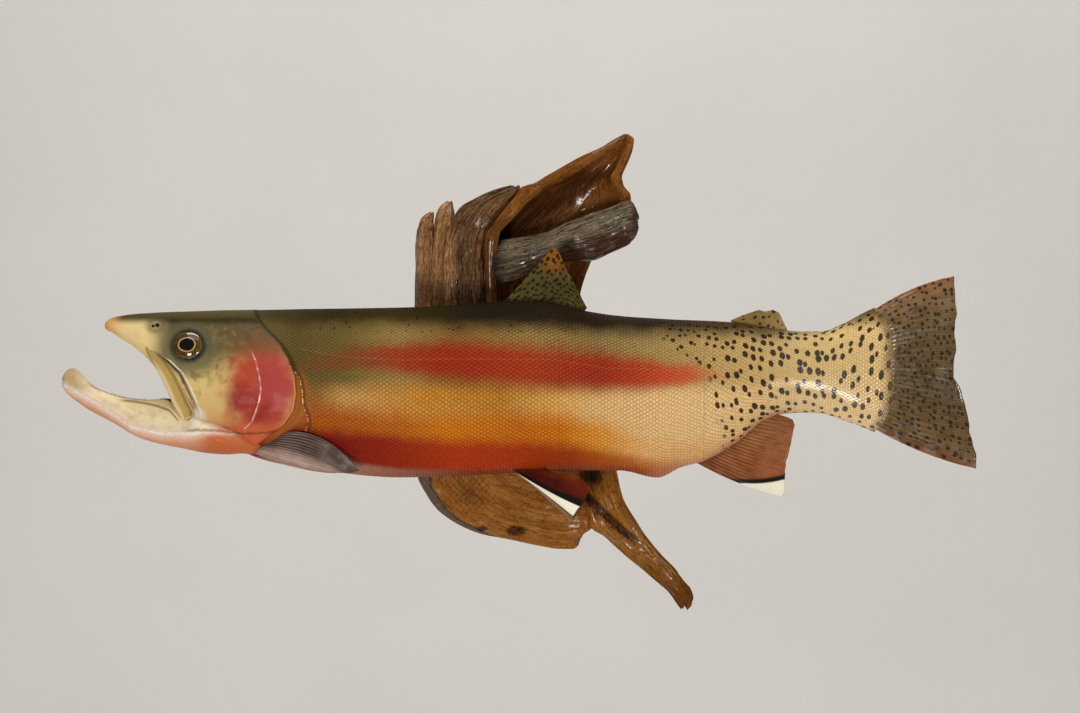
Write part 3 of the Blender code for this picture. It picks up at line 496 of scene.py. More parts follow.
class Finish(Wire):
    """A material; its own wire methods start from places on the piece, in mm."""

    def __init__(self, name, roughness=0.4, **fixed):
        self.material = bpy.data.materials.new(name)
        self.material.use_nodes = True
        super().__init__(self.material.node_tree)
        self.shader = self.tree.nodes["Principled BSDF"]
        self.shader.inputs["Roughness"].default_value = roughness
        for socket, value in fixed.items():
            self.shader.inputs[socket.replace("_", " ")].default_value = value
        place = self.add("TexCoord", {}, out="Object")
        self.spot = self.add("VectorMath", {0: place, "Scale": 1 / MM}, operation="SCALE")
        self.x, self.y, self.z = [self.add("SeparateXYZ", {0: self.spot}, out=i) for i in range(3)]

    def mark(self, name):
        return self.add("Attribute", {}, out="Fac", attribute_name=name)

    def grain(self, size, detail=3, place=None):
        return self.add("TexNoise", {"Vector": place or self.spot, "Scale": 1 / size, "Detail": detail})

    def dots(self, size, place, out, jitter):
        """Distance from the middle of the nearest of many cells scattered over a sheet, or its colour."""
        return self.add("TexVoronoi", {"Vector": place, "Scale": 1 / size, "Randomness": jitter}, out=out,
                        voronoi_dimensions="2D")

    def point(self, *axes):
        """A place put together from separate values."""
        return self.add("CombineXYZ", dict(enumerate(axes)))

    def oval(self, x, z, wide, high, soft=0.35, ragged=0):
        """1 inside an oval on the flank, fading out at its edge."""
        dx = (self.x - x) / wide
        dz = (self.z - z) / high
        away = (dx * dx + dz * dz).root()
        if ragged:
            away = away + (self.grain(11, 4) - 0.5) * ragged
        return away.rise(1 + soft, 1 - soft)

    def past(self, points):
        """How far behind a line that runs up or down the flank a place lies."""
        return self.x - self.z.track(*sorted((z, x) for x, z in points))

    def line(self, points, wide, shift=0):
        """1 on a line that runs up or down the flank, fading out to both sides."""
        away = self.past([(x + shift, z) for x, z in points]).size()
        low, high = min(z for x, z in points), max(z for x, z in points)
        return away.rise(wide, wide * 0.3) * self.z.rise(low, low + 3) * self.z.rise(high, high - 3)

    def lay(self, **feeds):
        for socket, wire in feeds.items():
            self.tree.links.new(wire.socket, self.shader.inputs[socket.replace("_", " ")])
        return self.material

    def relief(self, height, depth):
        """Fine unevenness, depth in mm."""
        raised = self.add("Bump", {"Height": height, "Distance": depth * MM, "Strength": 1})
        self.lay(Normal=raised)


# Bands of colour from the back down: the tone at places along the body.
BACK_TONE = (
    (-230, 76, 66, 36), (-163, 48, 38, 8), (-106, 58, 46, 4), (-40, 34, 26, 0), (60, 44, 30, 2),
    (106, 46, 34, 4), (150, 74, 58, 22), (297, 96, 78, 42),
)
UPPER_TONE = (
    (-220, 100, 88, 46), (-188, 92, 76, 36), (-150, 104, 88, 42), (-106, 144, 118, 66), (-60, 122, 88, 40),
    (0, 142, 114, 64), (50, 132, 106, 60), (100, 156, 130, 78), (150, 182, 150, 94), (190, 198, 166, 108),
    (230, 216, 182, 120), (297, 226, 192, 132),
)
FLESH_TONE = (
    (-200, 130, 88, 36), (-172, 138, 94, 40), (-151, 184, 138, 76), (-90, 186, 124, 42),
    (-24, 174, 114, 30), (25, 206, 154, 80), (55, 210, 168, 108), (125, 222, 182, 128),
    (230, 222, 186, 128), (297, 232, 196, 138),
)
ORANGE_TONE = (
    (-200, 156, 76, 0), (-150, 164, 82, 0), (-106, 172, 92, 4), (-65, 192, 110, 6), (-8, 184, 98, 0),
    (25, 190, 106, 6), (57, 206, 138, 48), (98, 218, 168, 108), (297, 208, 172, 118),
)
RED_TONE = (
    (-200, 114, 20, 0), (-150, 126, 27, 0), (-106, 142, 39, 0), (-60, 166, 54, 0), (-20, 162, 54, 0),
    (30, 148, 54, 0), (60, 166, 78, 14), (95, 178, 104, 48), (140, 210, 150, 108), (297, 206, 168, 118),
)
EDGE_TONE = (
    (-200, 180, 134, 122), (-106, 152, 96, 76), (-60, 134, 62, 34), (-40, 124, 48, 12), (90, 152, 74, 38),
    (130, 214, 152, 112), (297, 200, 158, 108),
)
ROSE_TONE = (
    (-190, 124, 58, 28), (-147, 128, 38, 18), (-106, 148, 26, 6), (-50, 148, 42, 14), (0, 158, 50, 22),
    (57, 146, 42, 20), (110, 188, 60, 34), (160, 204, 98, 58),
)
BONE_TONE = (
    (-60, 186, 122, 92), (-34, 204, 140, 98), (-10, 216, 182, 116), (8, 214, 184, 116), (22, 176, 152, 94),
    (34, 128, 108, 66), (46, 98, 84, 50), (53, 88, 76, 46), (57, 56, 48, 26), (60, 84, 74, 42),
    (66, 100, 88, 54),
)
JAW_TONE = (
    (-16, 196, 120, 84), (-8, 216, 158, 124), (-3, 238, 204, 184), (2, 232, 212, 184), (10, 240, 220, 174),
    (26, 206, 182, 130),
)


def flank_colour(paint, cloud, speck, high):
    """Bands of colour down the flank, with the rose stripe along the lateral line."""
    x, z = paint.x, paint.z
    orange_top = x.track((-200, -8), (-150, -14), (-80, -22), (0, -20), (40, -22), (100, -40), (297, -46))
    red_top = x.track((-200, -30), (-150, -34), (-90, -40), (-20, -42), (40, -46), (90, -56), (297, -80))
    edge_top = x.track((-200, -54), (-150, -58), (-106, -64), (-40, -65), (60, -61), (104, -64), (150, -50),
                       (200, -16), (297, -36))
    back_end = x.track((-200, 55), (-106, 53), (0, 50), (60, 46), (140, 45), (200, 44), (297, 60))
    line = x.track((-185, 20), (-140, 27), (-60, 24), (-10, 20), (60, 14.5), (120, 12.5), (160, 13))
    half = x.track((-190, 5), (-150, 9), (-106, 13), (-65, 16.5), (-10, 18.5), (40, 18), (80, 14), (110, 11),
                   (140, 7), (160, 3))
    strength = x.track((-200, 0), (-170, 0.35), (-110, 0.85), (-60, 1), (80, 1), (130, 0.85), (150, 0.3),
                       (160, 0))
    stripe = ((z + cloud * 8 + speck * 4 - line) / half).size().rise(1.45, 0.35) * strength
    pores = (z - x.track((-200, 36), (-150, 27), (-104, 25), (-60, 25.5), (20, 25), (62, 18), (150, 15.5),
                         (297, 15.5))).size().rise(1, 0.4)
    return x.track(*BACK_TONE).under(
        (x.track(*UPPER_TONE), (high - back_end).rise(9, -8)),
        (x.track(*FLESH_TONE), high.rise(12, -6)),
        (x.track(*ORANGE_TONE), (high - orange_top).rise(9, -9)),
        (x.track(*RED_TONE), (z + cloud * 8 - red_top).rise(7, -6)),
        (x.track(*EDGE_TONE), (z + speck * 4 - edge_top).rise(2.5, -2.5) * x.rise(-236, -200)),
        (x.track(*ROSE_TONE), stripe * 0.95),
        ((214, 150, 96), pores * 0.07 * x.rise(-196, -180)))


def spot_mask(paint):
    """Spots: round and dark towards the tail, pin-prick small along the back."""
    x, z = paint.x, paint.z
    sheet = paint.point(x, paint.mark("round"))
    tone = paint.add("SeparateColor", {0: paint.dots(7.4, sheet, "Color", 0.72)})
    near = x.track((90, 0.11), (140, 0.14), (175, 0.2), (235, 0.2), (297, 0.17)) + tone * 0.13
    front = x - z.track((-80, 166), (-24, 156), (-12, 147), (16, 148), (33, 118), (42, 110), (70, 96))
    ragged_cell = paint.dots(7.4, sheet, "Distance", 0.72) + (paint.grain(2.6, 2) - 0.5) * 0.14
    spots = (ragged_cell - near).rise(0.035, -0.035) * front.rise(-8, 4) * tone.rise(0.06, 0.1)
    pin = paint.add("SeparateColor", {0: paint.dots(6.5, sheet, "Color", 1)}, out=1)
    pins = (paint.dots(6.5, sheet, "Distance", 1) - pin * 0.16).rise(0.04, -0.02) * pin.rise(0.55, 0.7)
    return spots, pins * z.rise(44, 50) * x.rise(-196, -170)


def head_colour(paint, cloud, speck, gill, hem_shade_and_corner_glint):
    """The bare head: olive above, cream on the snout, rose on the gill cover, and painted highlights and
    painted shade along its ridges and folds.
    """
    x, z = paint.x, paint.z
    blotch = paint.grain(8, 5)
    mottled = paint.oval(-246, 28, 25, 24, 0.5)
    fold = paint.grain(4, 2).rise(0.38, 0.5)
    nostril_rims = [(tint, paint.oval(-304.6, 52.5, wide, wide * 0.8, 0.45, 0.4) * 0.7)
                    for tint, wide in (((84, 78, 52), 8), ((166, 150, 106), 4.6))]
    # The nostril openings are painted near black: painted shade in the holes.
    nostril_hole_shade = [((20, 18, 12), paint.oval(at_x, at_z, radius * 1.2, radius * 1.1, 0.3))
                for at_x, at_z, radius in NOSTRILS]
    return z.track(*BONE_TONE).under(
        # snout, with olive clouds on it, and the mottled bone below and behind the eye
        ((132, 112, 62),
         blotch.rise(0.46, 0.66) * 0.55 * z.rise(-8, 15) * z.rise(55, 46) * x.rise(-330, -290)),
        ((240, 212, 150), x.rise(-290, -314) * 0.9 * z.rise(60, 52)),
        ((92, 86, 60), blotch.rise(0.5, 0.62) * paint.oval(-276, 8, 16, 12, 0.7, 0.8) * 0.4),
        ((204, 180, 124), paint.grain(6, 2).rise(0.46, 0.7) * mottled * 0.4),
        ((112, 84, 50), paint.grain(7, 3).rise(0.5, 0.34) * mottled * 0.6),
        ((92, 72, 42), paint.oval(-234, 39, 25, 12, 0.6, 0.8) * 0.6),
        ((240, 172, 104), x.rise(-331, -344) * 0.9),
        # the dark rim of the eye, and a painted shade line along the top of the head behind it
        ((96, 92, 68), paint.oval(EYE_AT[0] + 1, EYE_AT[1] - 3, 25, 20, 0.35, 0.4) * 0.8),
        ((52, 52, 44), paint.oval(*EYE_AT, 15, 14.2, 0.16) * 0.9),
        ((52, 48, 34), (z + cloud * 7 - 57).size().rise(4, 0.6) * x.rise(-266, -240) * 0.6),
        # rose on the gill cover, dusky above it and orange below
        ((180, 64, 46), paint.oval(-216, -1, 29, 36, 0.45, 0.7) * 0.95),
        ((168, 66, 68), paint.oval(-208, 6, 15, 19, 0.6, 1.2) * 0.75),
        ((142, 30, 36), paint.oval(-234, -6, 12, 11, 0.6, 1.2) * 0.7),
        ((138, 30, 24), paint.oval(-218, -18, 12, 9, 0.7, 1.2) * 0.6),
        ((108, 84, 56), paint.oval(-217, 41, 19, 11, 0.9, 0.9) * 0.6),
        ((196, 92, 54), z.rise(-22, -34) * x.rise(-258, -240) * 0.8),
        ((176, 96, 40), gill.rise(-5, -1.5) * z.rise(12, 0) * 0.5),
        # the pale edge of the preopercle with painted glints on it, the pale rim of the gill cover, and along
        # the fold behind the maxilla a painted highlight with painted shade in the groove in front of it
        ((240, 180, 168), paint.line(PREOPERCLE, 1.1) * (0.25 + (speck + 0.2).rise(0.1, 0.35) * 0.7)),
        ((228, 156, 108), (gill + 1.3).size().rise(1, 0.3) * z.rise(16, 6) * z.rise(-34, -28) * 0.6),
        ((52, 44, 28), paint.line(CHEEK_FOLD, 1.9, -1.5) * 0.75),
        ((238, 230, 210), paint.line(CHEEK_FOLD, 1.5, 1.1) * (0.3 + fold * 0.6)),
        *nostril_rims, *nostril_hole_shade, *hem_shade_and_corner_glint)


def gill_edge_layers(paint, gill):
    """What lies close behind the head: a painted shadow, an orange rim, and the shoulder's ridge with painted
    shade behind it and painted glints along it.
    """
    z = paint.z
    behind = gill.rise(-0.5, 1.5) * gill.rise(13, 6)
    shoulder_glints = paint.grain(1.9, 2).rise(0.52, 0.6)
    return (((52, 38, 20), behind * gill.rise(5, 1.5) * z.rise(6, 22) * 0.85),
            ((160, 92, 30), behind * z.rise(20, 4) * z.rise(-48, -36) * 0.85),
            ((84, 46, 14), paint.line(SHOULDER, 2.2, 1.6) * 0.65),
            ((240, 214, 164), paint.line(SHOULDER, 0.8) * shoulder_glints * 0.8))


def maxilla_layers(paint, part):
    """The blade of the upper jaw, paler at its rims and olive at its upper end."""
    blade = part.rise(1.4, 1.8)
    return (((222, 196, 146), blade),
            ((180, 150, 84), blade * part.rise(2.3, 2.8) * part.rise(4, 3.75)),
            ((160, 136, 86), blade * paint.z.rise(12, 28) * 0.9),
            ((120, 92, 44), blade * part.rise(3.3, 3.7) * part.rise(3.98, 3.85) * 0.7))


def jaw_colour(paint, speck, hem_shade_and_corner_glint):
    """The jaw: olive-cream above its bone, a painted highlight along the bone's edge, painted shade in the
    fold above it, pink below, orange at the throat.
    """
    x, z = paint.x, paint.z
    under_bone = z - x.track((-384, 10), *JAW_BONE, (-206, -33))
    rim = (under_bone + 1.2).size().rise(1.9, 0.6) * (speck + 0.2).rise(0, 0.3) * x.rise(-250, -262)
    crease_shade = (z - x.track(*JAW_FOLD)).size().rise(1.7, 0.4) * x.rise(-336, -328) * x.rise(-283, -288)
    return (under_bone + speck * 2).track(*JAW_TONE).under(
        ((176, 148, 104), x.rise(-356, -374) * 0.8 * under_bone.rise(-1, 3)),
        ((150, 124, 88), paint.grain(8, 5).rise(0.48, 0.72) * under_bone.rise(0, 4) * 0.3),
        ((250, 244, 236), rim * 0.7),
        ((104, 88, 54), crease_shade * 0.7),
        ((190, 96, 48), x.rise(-276, -256) * under_bone.rise(0, -5) * 0.9),
        ((204, 128, 92), x.rise(-262, -244) * under_bone.rise(-3, 1) * 0.9),
        *hem_shade_and_corner_glint)


def trout_paint(name, coat):
    """The airbrushed colours of head and body, the same on skin and scales."""
    paint = Finish(name, Coat_Roughness=0.11, Coat_IOR=1.75, Specular_IOR_Level=0.14)
    x, z = paint.x, paint.z
    cloud = paint.grain(16, 4) - 0.5
    speck = paint.grain(3.2, 2) - 0.5
    high = z + cloud * 9 + speck * 3
    colour = flank_colour(paint, cloud, speck, high)
    if coat:
        # On the scales, painted light and shade from the plates' rim mark: a lighter middle to each plate,
        # darker at its root, sides and rear edge, darkest under its lip.
        shade = paint.mark("rim")
        colour = colour.lit(1.08 + speck * 0.5 + shade.rise(0.55, 0.05) * 0.2 - shade.rise(0.3, 1) * 0.5)
    spots, pins = spot_mask(paint)
    root_gap = paint.past(CAUDAL_ROOT) + cloud * 10 + speck * 8
    gill = paint.past(GILL_EDGE)
    # Painted shade in the crease where the lower jaw meets the cheek, and a painted highlight on the wet skin
    # at the mouth's corner.
    hem_shade = z - x.track((-290, -33), (-269, -32.2), (-252, -33), (-233, -35.3), (-212, -34.5), (-195, -31))
    hem_shade = (hem_shade + speck * 3).size().rise(1.6, 0.4) * x.rise(-284, -272) * x.rise(-200, -208)
    corner = paint.oval(-271.5, -20.5, 8.5, 6.5, 0.6, 0.9)
    hem_shade_and_corner_glint = (((96, 40, 24), hem_shade * 0.55), ((222, 214, 196), corner * 0.8))
    part, lip = paint.mark("part"), paint.mark("lining")
    colour = colour.under(
        ((34, 26, 14), spots.over(pins * 0.85) * 0.94),
        ((112, 88, 54), root_gap.rise(-11, -1) * 0.75),  # the skin goes over into the tail fin's rays
        (head_colour(paint, cloud, speck, gill, hem_shade_and_corner_glint), gill.rise(0.5, -1.5)),
        *gill_edge_layers(paint, gill), *maxilla_layers(paint, part),
        (jaw_colour(paint, speck, hem_shade_and_corner_glint), part.rise(0.4, 0.8) * part.rise(1.6, 1.2)),
        ((140, 88, 66), lip * 0.9),
        # darker deeper in the mouth, towards the throat: painted shade
        ((70, 34, 24), lip * x.rise(-318, -286) * 0.85))

    wear = paint.grain(30, 3)
    tail = x.rise(180, 225) * z.rise(46, 30)
    ridges = corner.over(paint.line(CHEEK_FOLD, 2.5)).over(paint.line(PREOPERCLE, 1.4))
    wet = ridges * 0.5 * gill.rise(2, -2) + tail
    dull = spots.over(high.rise(44, 58)) * 0.32 - tail * 0.2
    if not coat:
        paint.relief(paint.grain(1.3, 3) * 0.5 + paint.grain(4, 3), 0.5)
    return paint.lay(Base_Color=colour, Roughness=0.42 + wear * 0.16 + dull, Coat_Weight=wet + wear * 0.03)


def placed(name, data):
    """A new object in the scene."""
    thing = bpy.data.objects.new(name, data)
    bpy.context.scene.collection.objects.link(thing)
    return thing


def finished(name, form, material, slot, *nodes):
    """Makes the piece of a form: its normals out, shaded smooth, riding with the mount."""
    bmesh.ops.recalc_face_normals(form, faces=form.faces)
    mesh = bpy.data.meshes.new(name)
    form.to_mesh(mesh)
    form.free()
    mesh.materials.append(material)
    mesh.shade_smooth()
    thing = placed(name, mesh)
    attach(thing, "root")
    if nodes:
        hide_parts(*nodes)


finished("trout_skin", skin, trout_paint("trout_skin_paint", False), "body_skin",
         "head", "trunk", "tail", "lower_jaw", "gill_cover_left", "gill_cover_right", "maxilla_left",
         "maxilla_right")

# ------------------------------------------------------------------ scales
# Small overlapping plates in rings round the body, each ring half a plate out of step with
# the next. Every plate lies flat at its root and lifts a little at its round rear edge.
PLATE_ROWS = ((0, -0.34), (0.55, 0.14), (1, 0.46), (0.97, -0.2))  # share of its length, height
# Painted shade for each row of a plate, from 0 to 1: some at the root, where it tucks under the plate before,
# hardly any in the middle, some at the rear edge, most under the lip; the sides of each plate get more.
PLATE_SHADE = (0.6, 0.05, 0.5, 1)
PLATE_COLUMNS, PLATE_LONG, PLATE_ROUND = 4, 1.9, 0.54
UV_START_X, UV_SPAN, UV_PLATE = -360, 700, 0.003


def scale_piece(start, end, pitch, count):
    """Rings of scales from one place along the body to another."""
    form = new_form("rim", "round")
    unwrap = form.loops.layers.uv.new("OFBake")
    rim, round_mark = form.verts.layers.float.values()
    columns, bands = count * PLATE_COLUMNS, len(PLATE_ROWS) - 1
    bare, lattice = [], []
    x, odd = start, 0
    while x < end:
        grid = bmesh.ops.create_grid(form, x_segments=columns, y_segments=bands, size=1)["verts"]
        for i, vert in enumerate(grid):
            row, column = divmod(i, columns + 1)
            across = abs((column % PLATE_COLUMNS) / PLATE_COLUMNS * 2 - 1)
            back, height = PLATE_ROWS[row]
            turn = 2 * pi * (column / PLATE_COLUMNS + odd * 0.5) / count
            low_lift = (1 - 0.75 * max(0, cos(turn)) ** 6) * ease(-236, -190, x)
            low_lift *= (1 - 0.85 * ease(190, 235, x)) * ease(299, 280, x)
            place_x = min(x + pitch * PLATE_LONG * back * (1 - PLATE_ROUND * across ** 1.7), TAIL_BASE_X)
            lift = height * (1 - 0.75 * across * across) * low_lift if height > 0 else height
            place = on_body(place_x, turn, lift + 0.06)
            vert.co = Vector(place[:3]) * MM
            vert[round_mark] = place[4]
            vert[rim] = PLATE_SHADE[row] + (1 - PLATE_SHADE[row]) * 0.6 * across * across
        lattice.append((x, odd, grid))
        x += pitch
        odd = 1 - odd
    form.verts.index_update()
    faces = iter(form.faces)
    for x, odd, grid in lattice:
        first = grid[0].index
        for row in range(bands):
            for column in range(columns):
                face = next(faces)
                plate = column // PLATE_COLUMNS
                share = ((plate + 0.5 + odd * 0.5) / count) % 1
                z = on_body(x, 2 * pi * share)[2]
                edge = max(GILL_X(z), GILL_TOP_X - 1)
                if SHOULDER[-1][1] < z < SHOULDER[0][1]:
                    edge = max(edge, SHOULDER_X(z))
                if x < edge + 0.6:
                    bare.append(face)
                    continue
                for loop in face.loops:
                    at_row, at_column = divmod(loop.vert.index - first, columns + 1)
                    local = (at_column - plate * PLATE_COLUMNS) / PLATE_COLUMNS - 0.5
                    u = (x - UV_START_X) / UV_SPAN + UV_PLATE * (at_row / 3 - 0.5)
                    loop[unwrap].uv = (u, 0.004 + 0.99 * share + UV_PLATE * local)
    bmesh.ops.delete(form, geom=bare, context="FACES")
    return form


scale_paint = trout_paint("trout_scale_paint", True)
for name, *run in (("scales_shoulder", -228, -104, 2.5, 122), ("scales_flank", -104, 20, 2.6, 122),
                   ("scales_vent", 20, 138, 2.6, 122), ("scales_tail", 138, 296, 2.3, 92)):
    finished(name, scale_piece(*run), scale_paint, "body_skin")

# ------------------------------------------------------------------ eyes
# Glass eyes set deep in clay sockets: a domed lens with a black pupil that comes to a
# point in front, a thin gold ring round it and a brown iris flecked with gold.
EYE_OUT, EYE_RADIUS, EYE_DEPTH = 26.4, 12.6, 5.2
LOOK_UP, LOOK_AHEAD = 12, 9

paint = Finish("glass_eye_paint", 0.06, Coat_Weight=0.5, Coat_Roughness=0.01)
ahead, up = paint.mark("ahead"), paint.mark("up")
from_middle = (ahead * ahead * 0.92 + up * up * 1.12).root() - ahead.rise(-2, -8) * 1.1
fleck = paint.grain(1.3, 4)
iris = from_middle.rise(6.2, 7.2)
colour = from_middle.track((0, 8, 8, 9), (5.5, 10, 10, 11), (5.8, 214, 184, 118), (6.3, 176, 140, 78),
                           (6.9, 74, 52, 24), (9.6, 80, 58, 26), (10.8, 112, 86, 46), (11.4, 60, 48, 28),
                           (12.6, 28, 24, 16))
colour = colour.under(((168, 128, 66), fleck.rise(0.52, 0.7) * iris * 0.45),
                      ((34, 26, 14), fleck.rise(0.48, 0.3) * iris * 0.5))
eye_paint = paint.lay(Base_Color=colour, Roughness=0.05 + fleck * 0.05)
for side, name in ((1, "eye_left"), (-1, "eye_right")):
    ball = new_form("ahead", "up")
    marks = ball.verts.layers.float
    bmesh.ops.create_uvsphere(ball, u_segments=48, v_segments=32, radius=1)
    for vert in ball.verts:
        vert[marks["ahead"]] = vert.co.x * EYE_RADIUS
        vert[marks["up"]] = vert.co.y * EYE_RADIUS * side
    turn_out = Matrix.Rotation(radians(90 * side), 4, "X")
    look_up = Matrix.Rotation(radians(-LOOK_UP * side), 4, "X")
    look_ahead = Matrix.Rotation(radians(-LOOK_AHEAD * side), 4, "Z")
    place = Matrix.Translation((EYE_AT[0] * MM, (-MID_DEPTH - side * EYE_OUT) * MM, EYE_AT[1] * MM))
    flat = Matrix.Diagonal((EYE_RADIUS * MM, EYE_RADIUS * MM, EYE_DEPTH * MM, 1))
    bmesh.ops.transform(ball, matrix=place @ look_ahead @ look_up @ turn_out @ flat, verts=ball.verts)
    finished(name + "_glass", ball, eye_paint, "eye_glass", name)

# ------------------------------------------------------------------ teeth
# Short bone teeth along the rim of the lower jaw and inside the upper lip, each let into
# the jaw and leaning back a little.
TOOTH_LONG, TOOTH_THICK, TOOTH_TIP, TOOTH_LEAN = 1.7, 0.5, 0.12, 18
JAW_TEETH, LIP_TEETH = (-346, -300), (-340, -297)  # where each row starts and ends


def tooth(form, x, y, z, up):
    lean = Matrix.Rotation(radians(TOOTH_LEAN * up), 4, "Y")
    stand = Matrix.Translation((x * MM, y * MM, (z + up * 0.45 * TOOTH_LONG) * MM))
    flip = Matrix.Rotation(0 if up > 0 else pi, 4, "X")
    bmesh.ops.create_cone(form, cap_ends=True, segments=8, radius1=TOOTH_THICK * MM, radius2=TOOTH_TIP * MM,
                          depth=TOOTH_LONG * MM, matrix=stand @ lean @ flip)


def height(point):
    return point[2]


teeth = new_form()
for ring in jaw_rings:
    x = ring[0][0]
    if JAW_TEETH[0] < x < JAW_TEETH[1] and int(x) % 3 == 0:
        for half_ring in (ring[4:24], ring[-24:-4]):
            top = max(half_ring, key=height)
            tooth(teeth, x, top[1], top[2] - 0.6, 1)
for ring in body_rings:
    x = ring[0][0]
    if LIP_TEETH[0] < x < LIP_TEETH[1] and int(x) % 4 == 0:
        for half_ring in (ring[38:75], ring[76:112]):
            lip = min(half_ring, key=height)
            tooth(teeth, x, lip[1], lip[2] + 0.8, -1)
paint = Finish("tooth_bone", 0.3, Coat_Weight=0.6, Coat_Roughness=0.08)
ivory = paint.z.track((-40, 214, 190, 140), (40, 242, 230, 198))
finished("teeth", teeth, paint.lay(Base_Color=ivory), "jaw_skin")

# ------------------------------------------------------------------ fins
# Dried and painted fins, each a fan of bony rays joined by thin skin. The rays fork towards
# the edge, where the skin between them is worn a little ragged.


def fin_rings(base, edge, rays, thick, bow, out, steps=26, per_ray=6, ridged=1):
    """Rings round a fin from its root to its edge, with the share across and along each ray."""
    count = rays * per_ray + 1
    shares = [0, 0.02] + spread(0.06, 0.97, steps) + [0.992, 1]
    feet = [share_of(base, i / (count - 1)) for i in range(count)]
    rims = [share_of(edge, i / (count - 1)) for i in range(count)]
    rings = []
    for row, t in enumerate(shares):
        near, far = [], []
        forked = ease(0.4, 0.75, t)
        for i in range(count):
            s = i / (count - 1)
            ray = abs(cos(pi * rays * s)) ** 1.5 * (1 - forked) + abs(cos(2 * pi * rays * s)) * forked
            worn = 0.004 * (1 - ray) + 0.03 * max(0, waver(s * rays * 0.45, 3.1, 0))
            reach = t * (1 - worn * ease(0.55, 1, t))
            half = (thick[0] + (thick[1] - thick[0]) * t) / 2
            half *= (1 - 0.35 * ridged * (1 - ray)) * min(1, 0.25 + 14 * s, 0.25 + 14 * (1 - s))
            half += 1.1 * ease(0.16, 0, t)
            if row in (0, len(shares) - 1):
                half = 0
            elif row == len(shares) - 2:
                half *= 0.6
            swell = (bow[0] * (1 - s) - bow[1] * s) * 4 * t * (1 - t)
            x = feet[i][0] + (rims[i][0] - feet[i][0]) * reach
            z = feet[i][1] + (rims[i][1] - feet[i][1]) * reach + swell
            y = middle(x) - out(s, t)
            near.append((x, y - half, z, s, t))
            far.append((x, y + half, z, s, t))
        rings.append(near + far[::-1])
    return rings


def soft_folds(waves, height):
    return lambda s, t: height * sin(2 * pi * waves * s) * t


def fin_paint(name, rays, tones, ray_tone, dark, lined=0.3, spots=None, tipped=None, belly=None, apex=None,
              wet=0.4):
    """Colours across a fin, with its rays, its rows of spots and its dark-edged white tip."""
    paint = Finish(name, Coat_Roughness=0.08 + 0.07 * wet, Coat_IOR=1.5 + 0.3 * wet,
                   Specular_IOR_Level=0.1 + 0.1 * wet)
    cloud = paint.grain(9)
    across, reach = paint.mark("across"), paint.mark("reach")
    streak = paint.grain(1, 4, paint.point(across * rays * 2, reach * 3))
    line = (across * rays).wave()
    fork = (across * rays * 2).wave()
    ridge = line + (fork - line) * reach.rise(0.4, 0.75)
    colour = across.track(*tones)
    if apex:
        rear = (across + paint.grain(12) * 0.3 - 0.15).rise(0.42, 0.12) * reach.rise(0.62, 0.9)
        rim = reach.rise(0.9, 0.99) * across.rise(0.6, 0.4) * 0.5
        colour = colour.under((apex, rear.over(rim) * 0.7))
    colour = colour.under((ray_tone, ridge.rise(0.5, 1) * lined), (dark, ridge.rise(0.4, 0.05) * lined),
                          (dark, streak.rise(0.5, 0.72) * 0.55))
    colour = colour.lit(0.55 + cloud * 0.9)
    if spots:
        cells, along, radius = spots
        rows = paint.point(across * cells, reach * along)
        tone = paint.add("SeparateColor", {0: paint.dots(1, rows, "Color", 0.7)})
        fleck = paint.dots(1, rows, "Distance", 0.7) + (streak - 0.5) * 0.2 - tone * 0.12
        colour = colour.under(((28, 22, 12), fleck.rise(radius + 0.05, radius - 0.05) * 0.9))
    if tipped:
        start, slope, band = tipped
        edge = across - (reach - start) * slope
        white = edge.rise(0.012, -0.012) * reach.rise(start - 0.02, start + 0.06)
        colour = colour.under(((24, 14, 8), edge.rise(band, band * 0.5) * reach.rise(start - 0.25, start)),
                              ((244, 238, 214), white))
    if belly:
        colour = colour.under((belly, reach.rise(0.22, 0.02) * 0.85))
    paint.relief(ridge * 0.6 * lined + streak, 0.5)
    shine = cloud.rise(0.5, 0.6) * streak.rise(0.44, 0.54) * 0.5 * wet
    return paint.lay(Base_Color=colour, Roughness=0.6 - shine, Coat_Weight=cloud.rise(0.44, 0.55) * wet)


DORSAL_BASE = ((-28, 64), (6, 64), (38, 58))
DORSAL_EDGE = ((20, 118), (24.5, 112), (28.5, 101.5), (38.5, 84), (46.5, 67), (43, 62.5))
ADIPOSE_BASE = ((166, 48), (206, 44))
ADIPOSE_EDGE = (
    (164, 57), (175, 61.8), (187, 65.6), (192, 64.4), (198.5, 65.6), (203.5, 63), (206, 57.5), (210, 49.5),
)
ANAL_BASE = ((131, -56.5), (157, -45), (177, -32), (188, -18))
ANAL_EDGE = ((206, -87), (208.5, -83), (208, -72), (209, -61), (213, -44), (216, -28), (214.5, -24))
CAUDAL_BASE = (
    (270, 58), (280, 56), (288, 43.3), (290, 23.3), (290, 9.8), (288, -5.7), (282, -21.5), (275, -28),
)
CAUDAL_EDGE = (
    (345.2, 92.8), (346, 72), (347.6, 62), (346, 52), (347, 32.7), (344.8, 23), (344.8, 10.5), (349.4, 3.3),
    (352.8, -6), (356.4, -21.2), (359.6, -40.9), (362.8, -51), (363.2, -63.8),
)
PECTORAL_BASE = ((-211, -38), (-224, -51))
PECTORAL_EDGE = ((-137.5, -65), (-146, -67), (-160, -67.2))
PELVIC_BASE = ((-18, -62.5), (6, -60))
PELVIC_EDGE = ((35, -102), (39.5, -96), (44, -89.9), (48.4, -80.1), (45.4, -74.7), (36, -69))
FAR_PELVIC_EDGE = [(x, z - 6.4 * max(0, (-60 - z) / 42)) for x, z in PELVIC_EDGE]


def pectoral_out(s, t):
    return 24 + 15 * ease(0, 0.3, t) - 6 * s * ease(0, 0.3, t)


def pelvic_out(s, t):
    return 12 + 18 * t - 2 * s


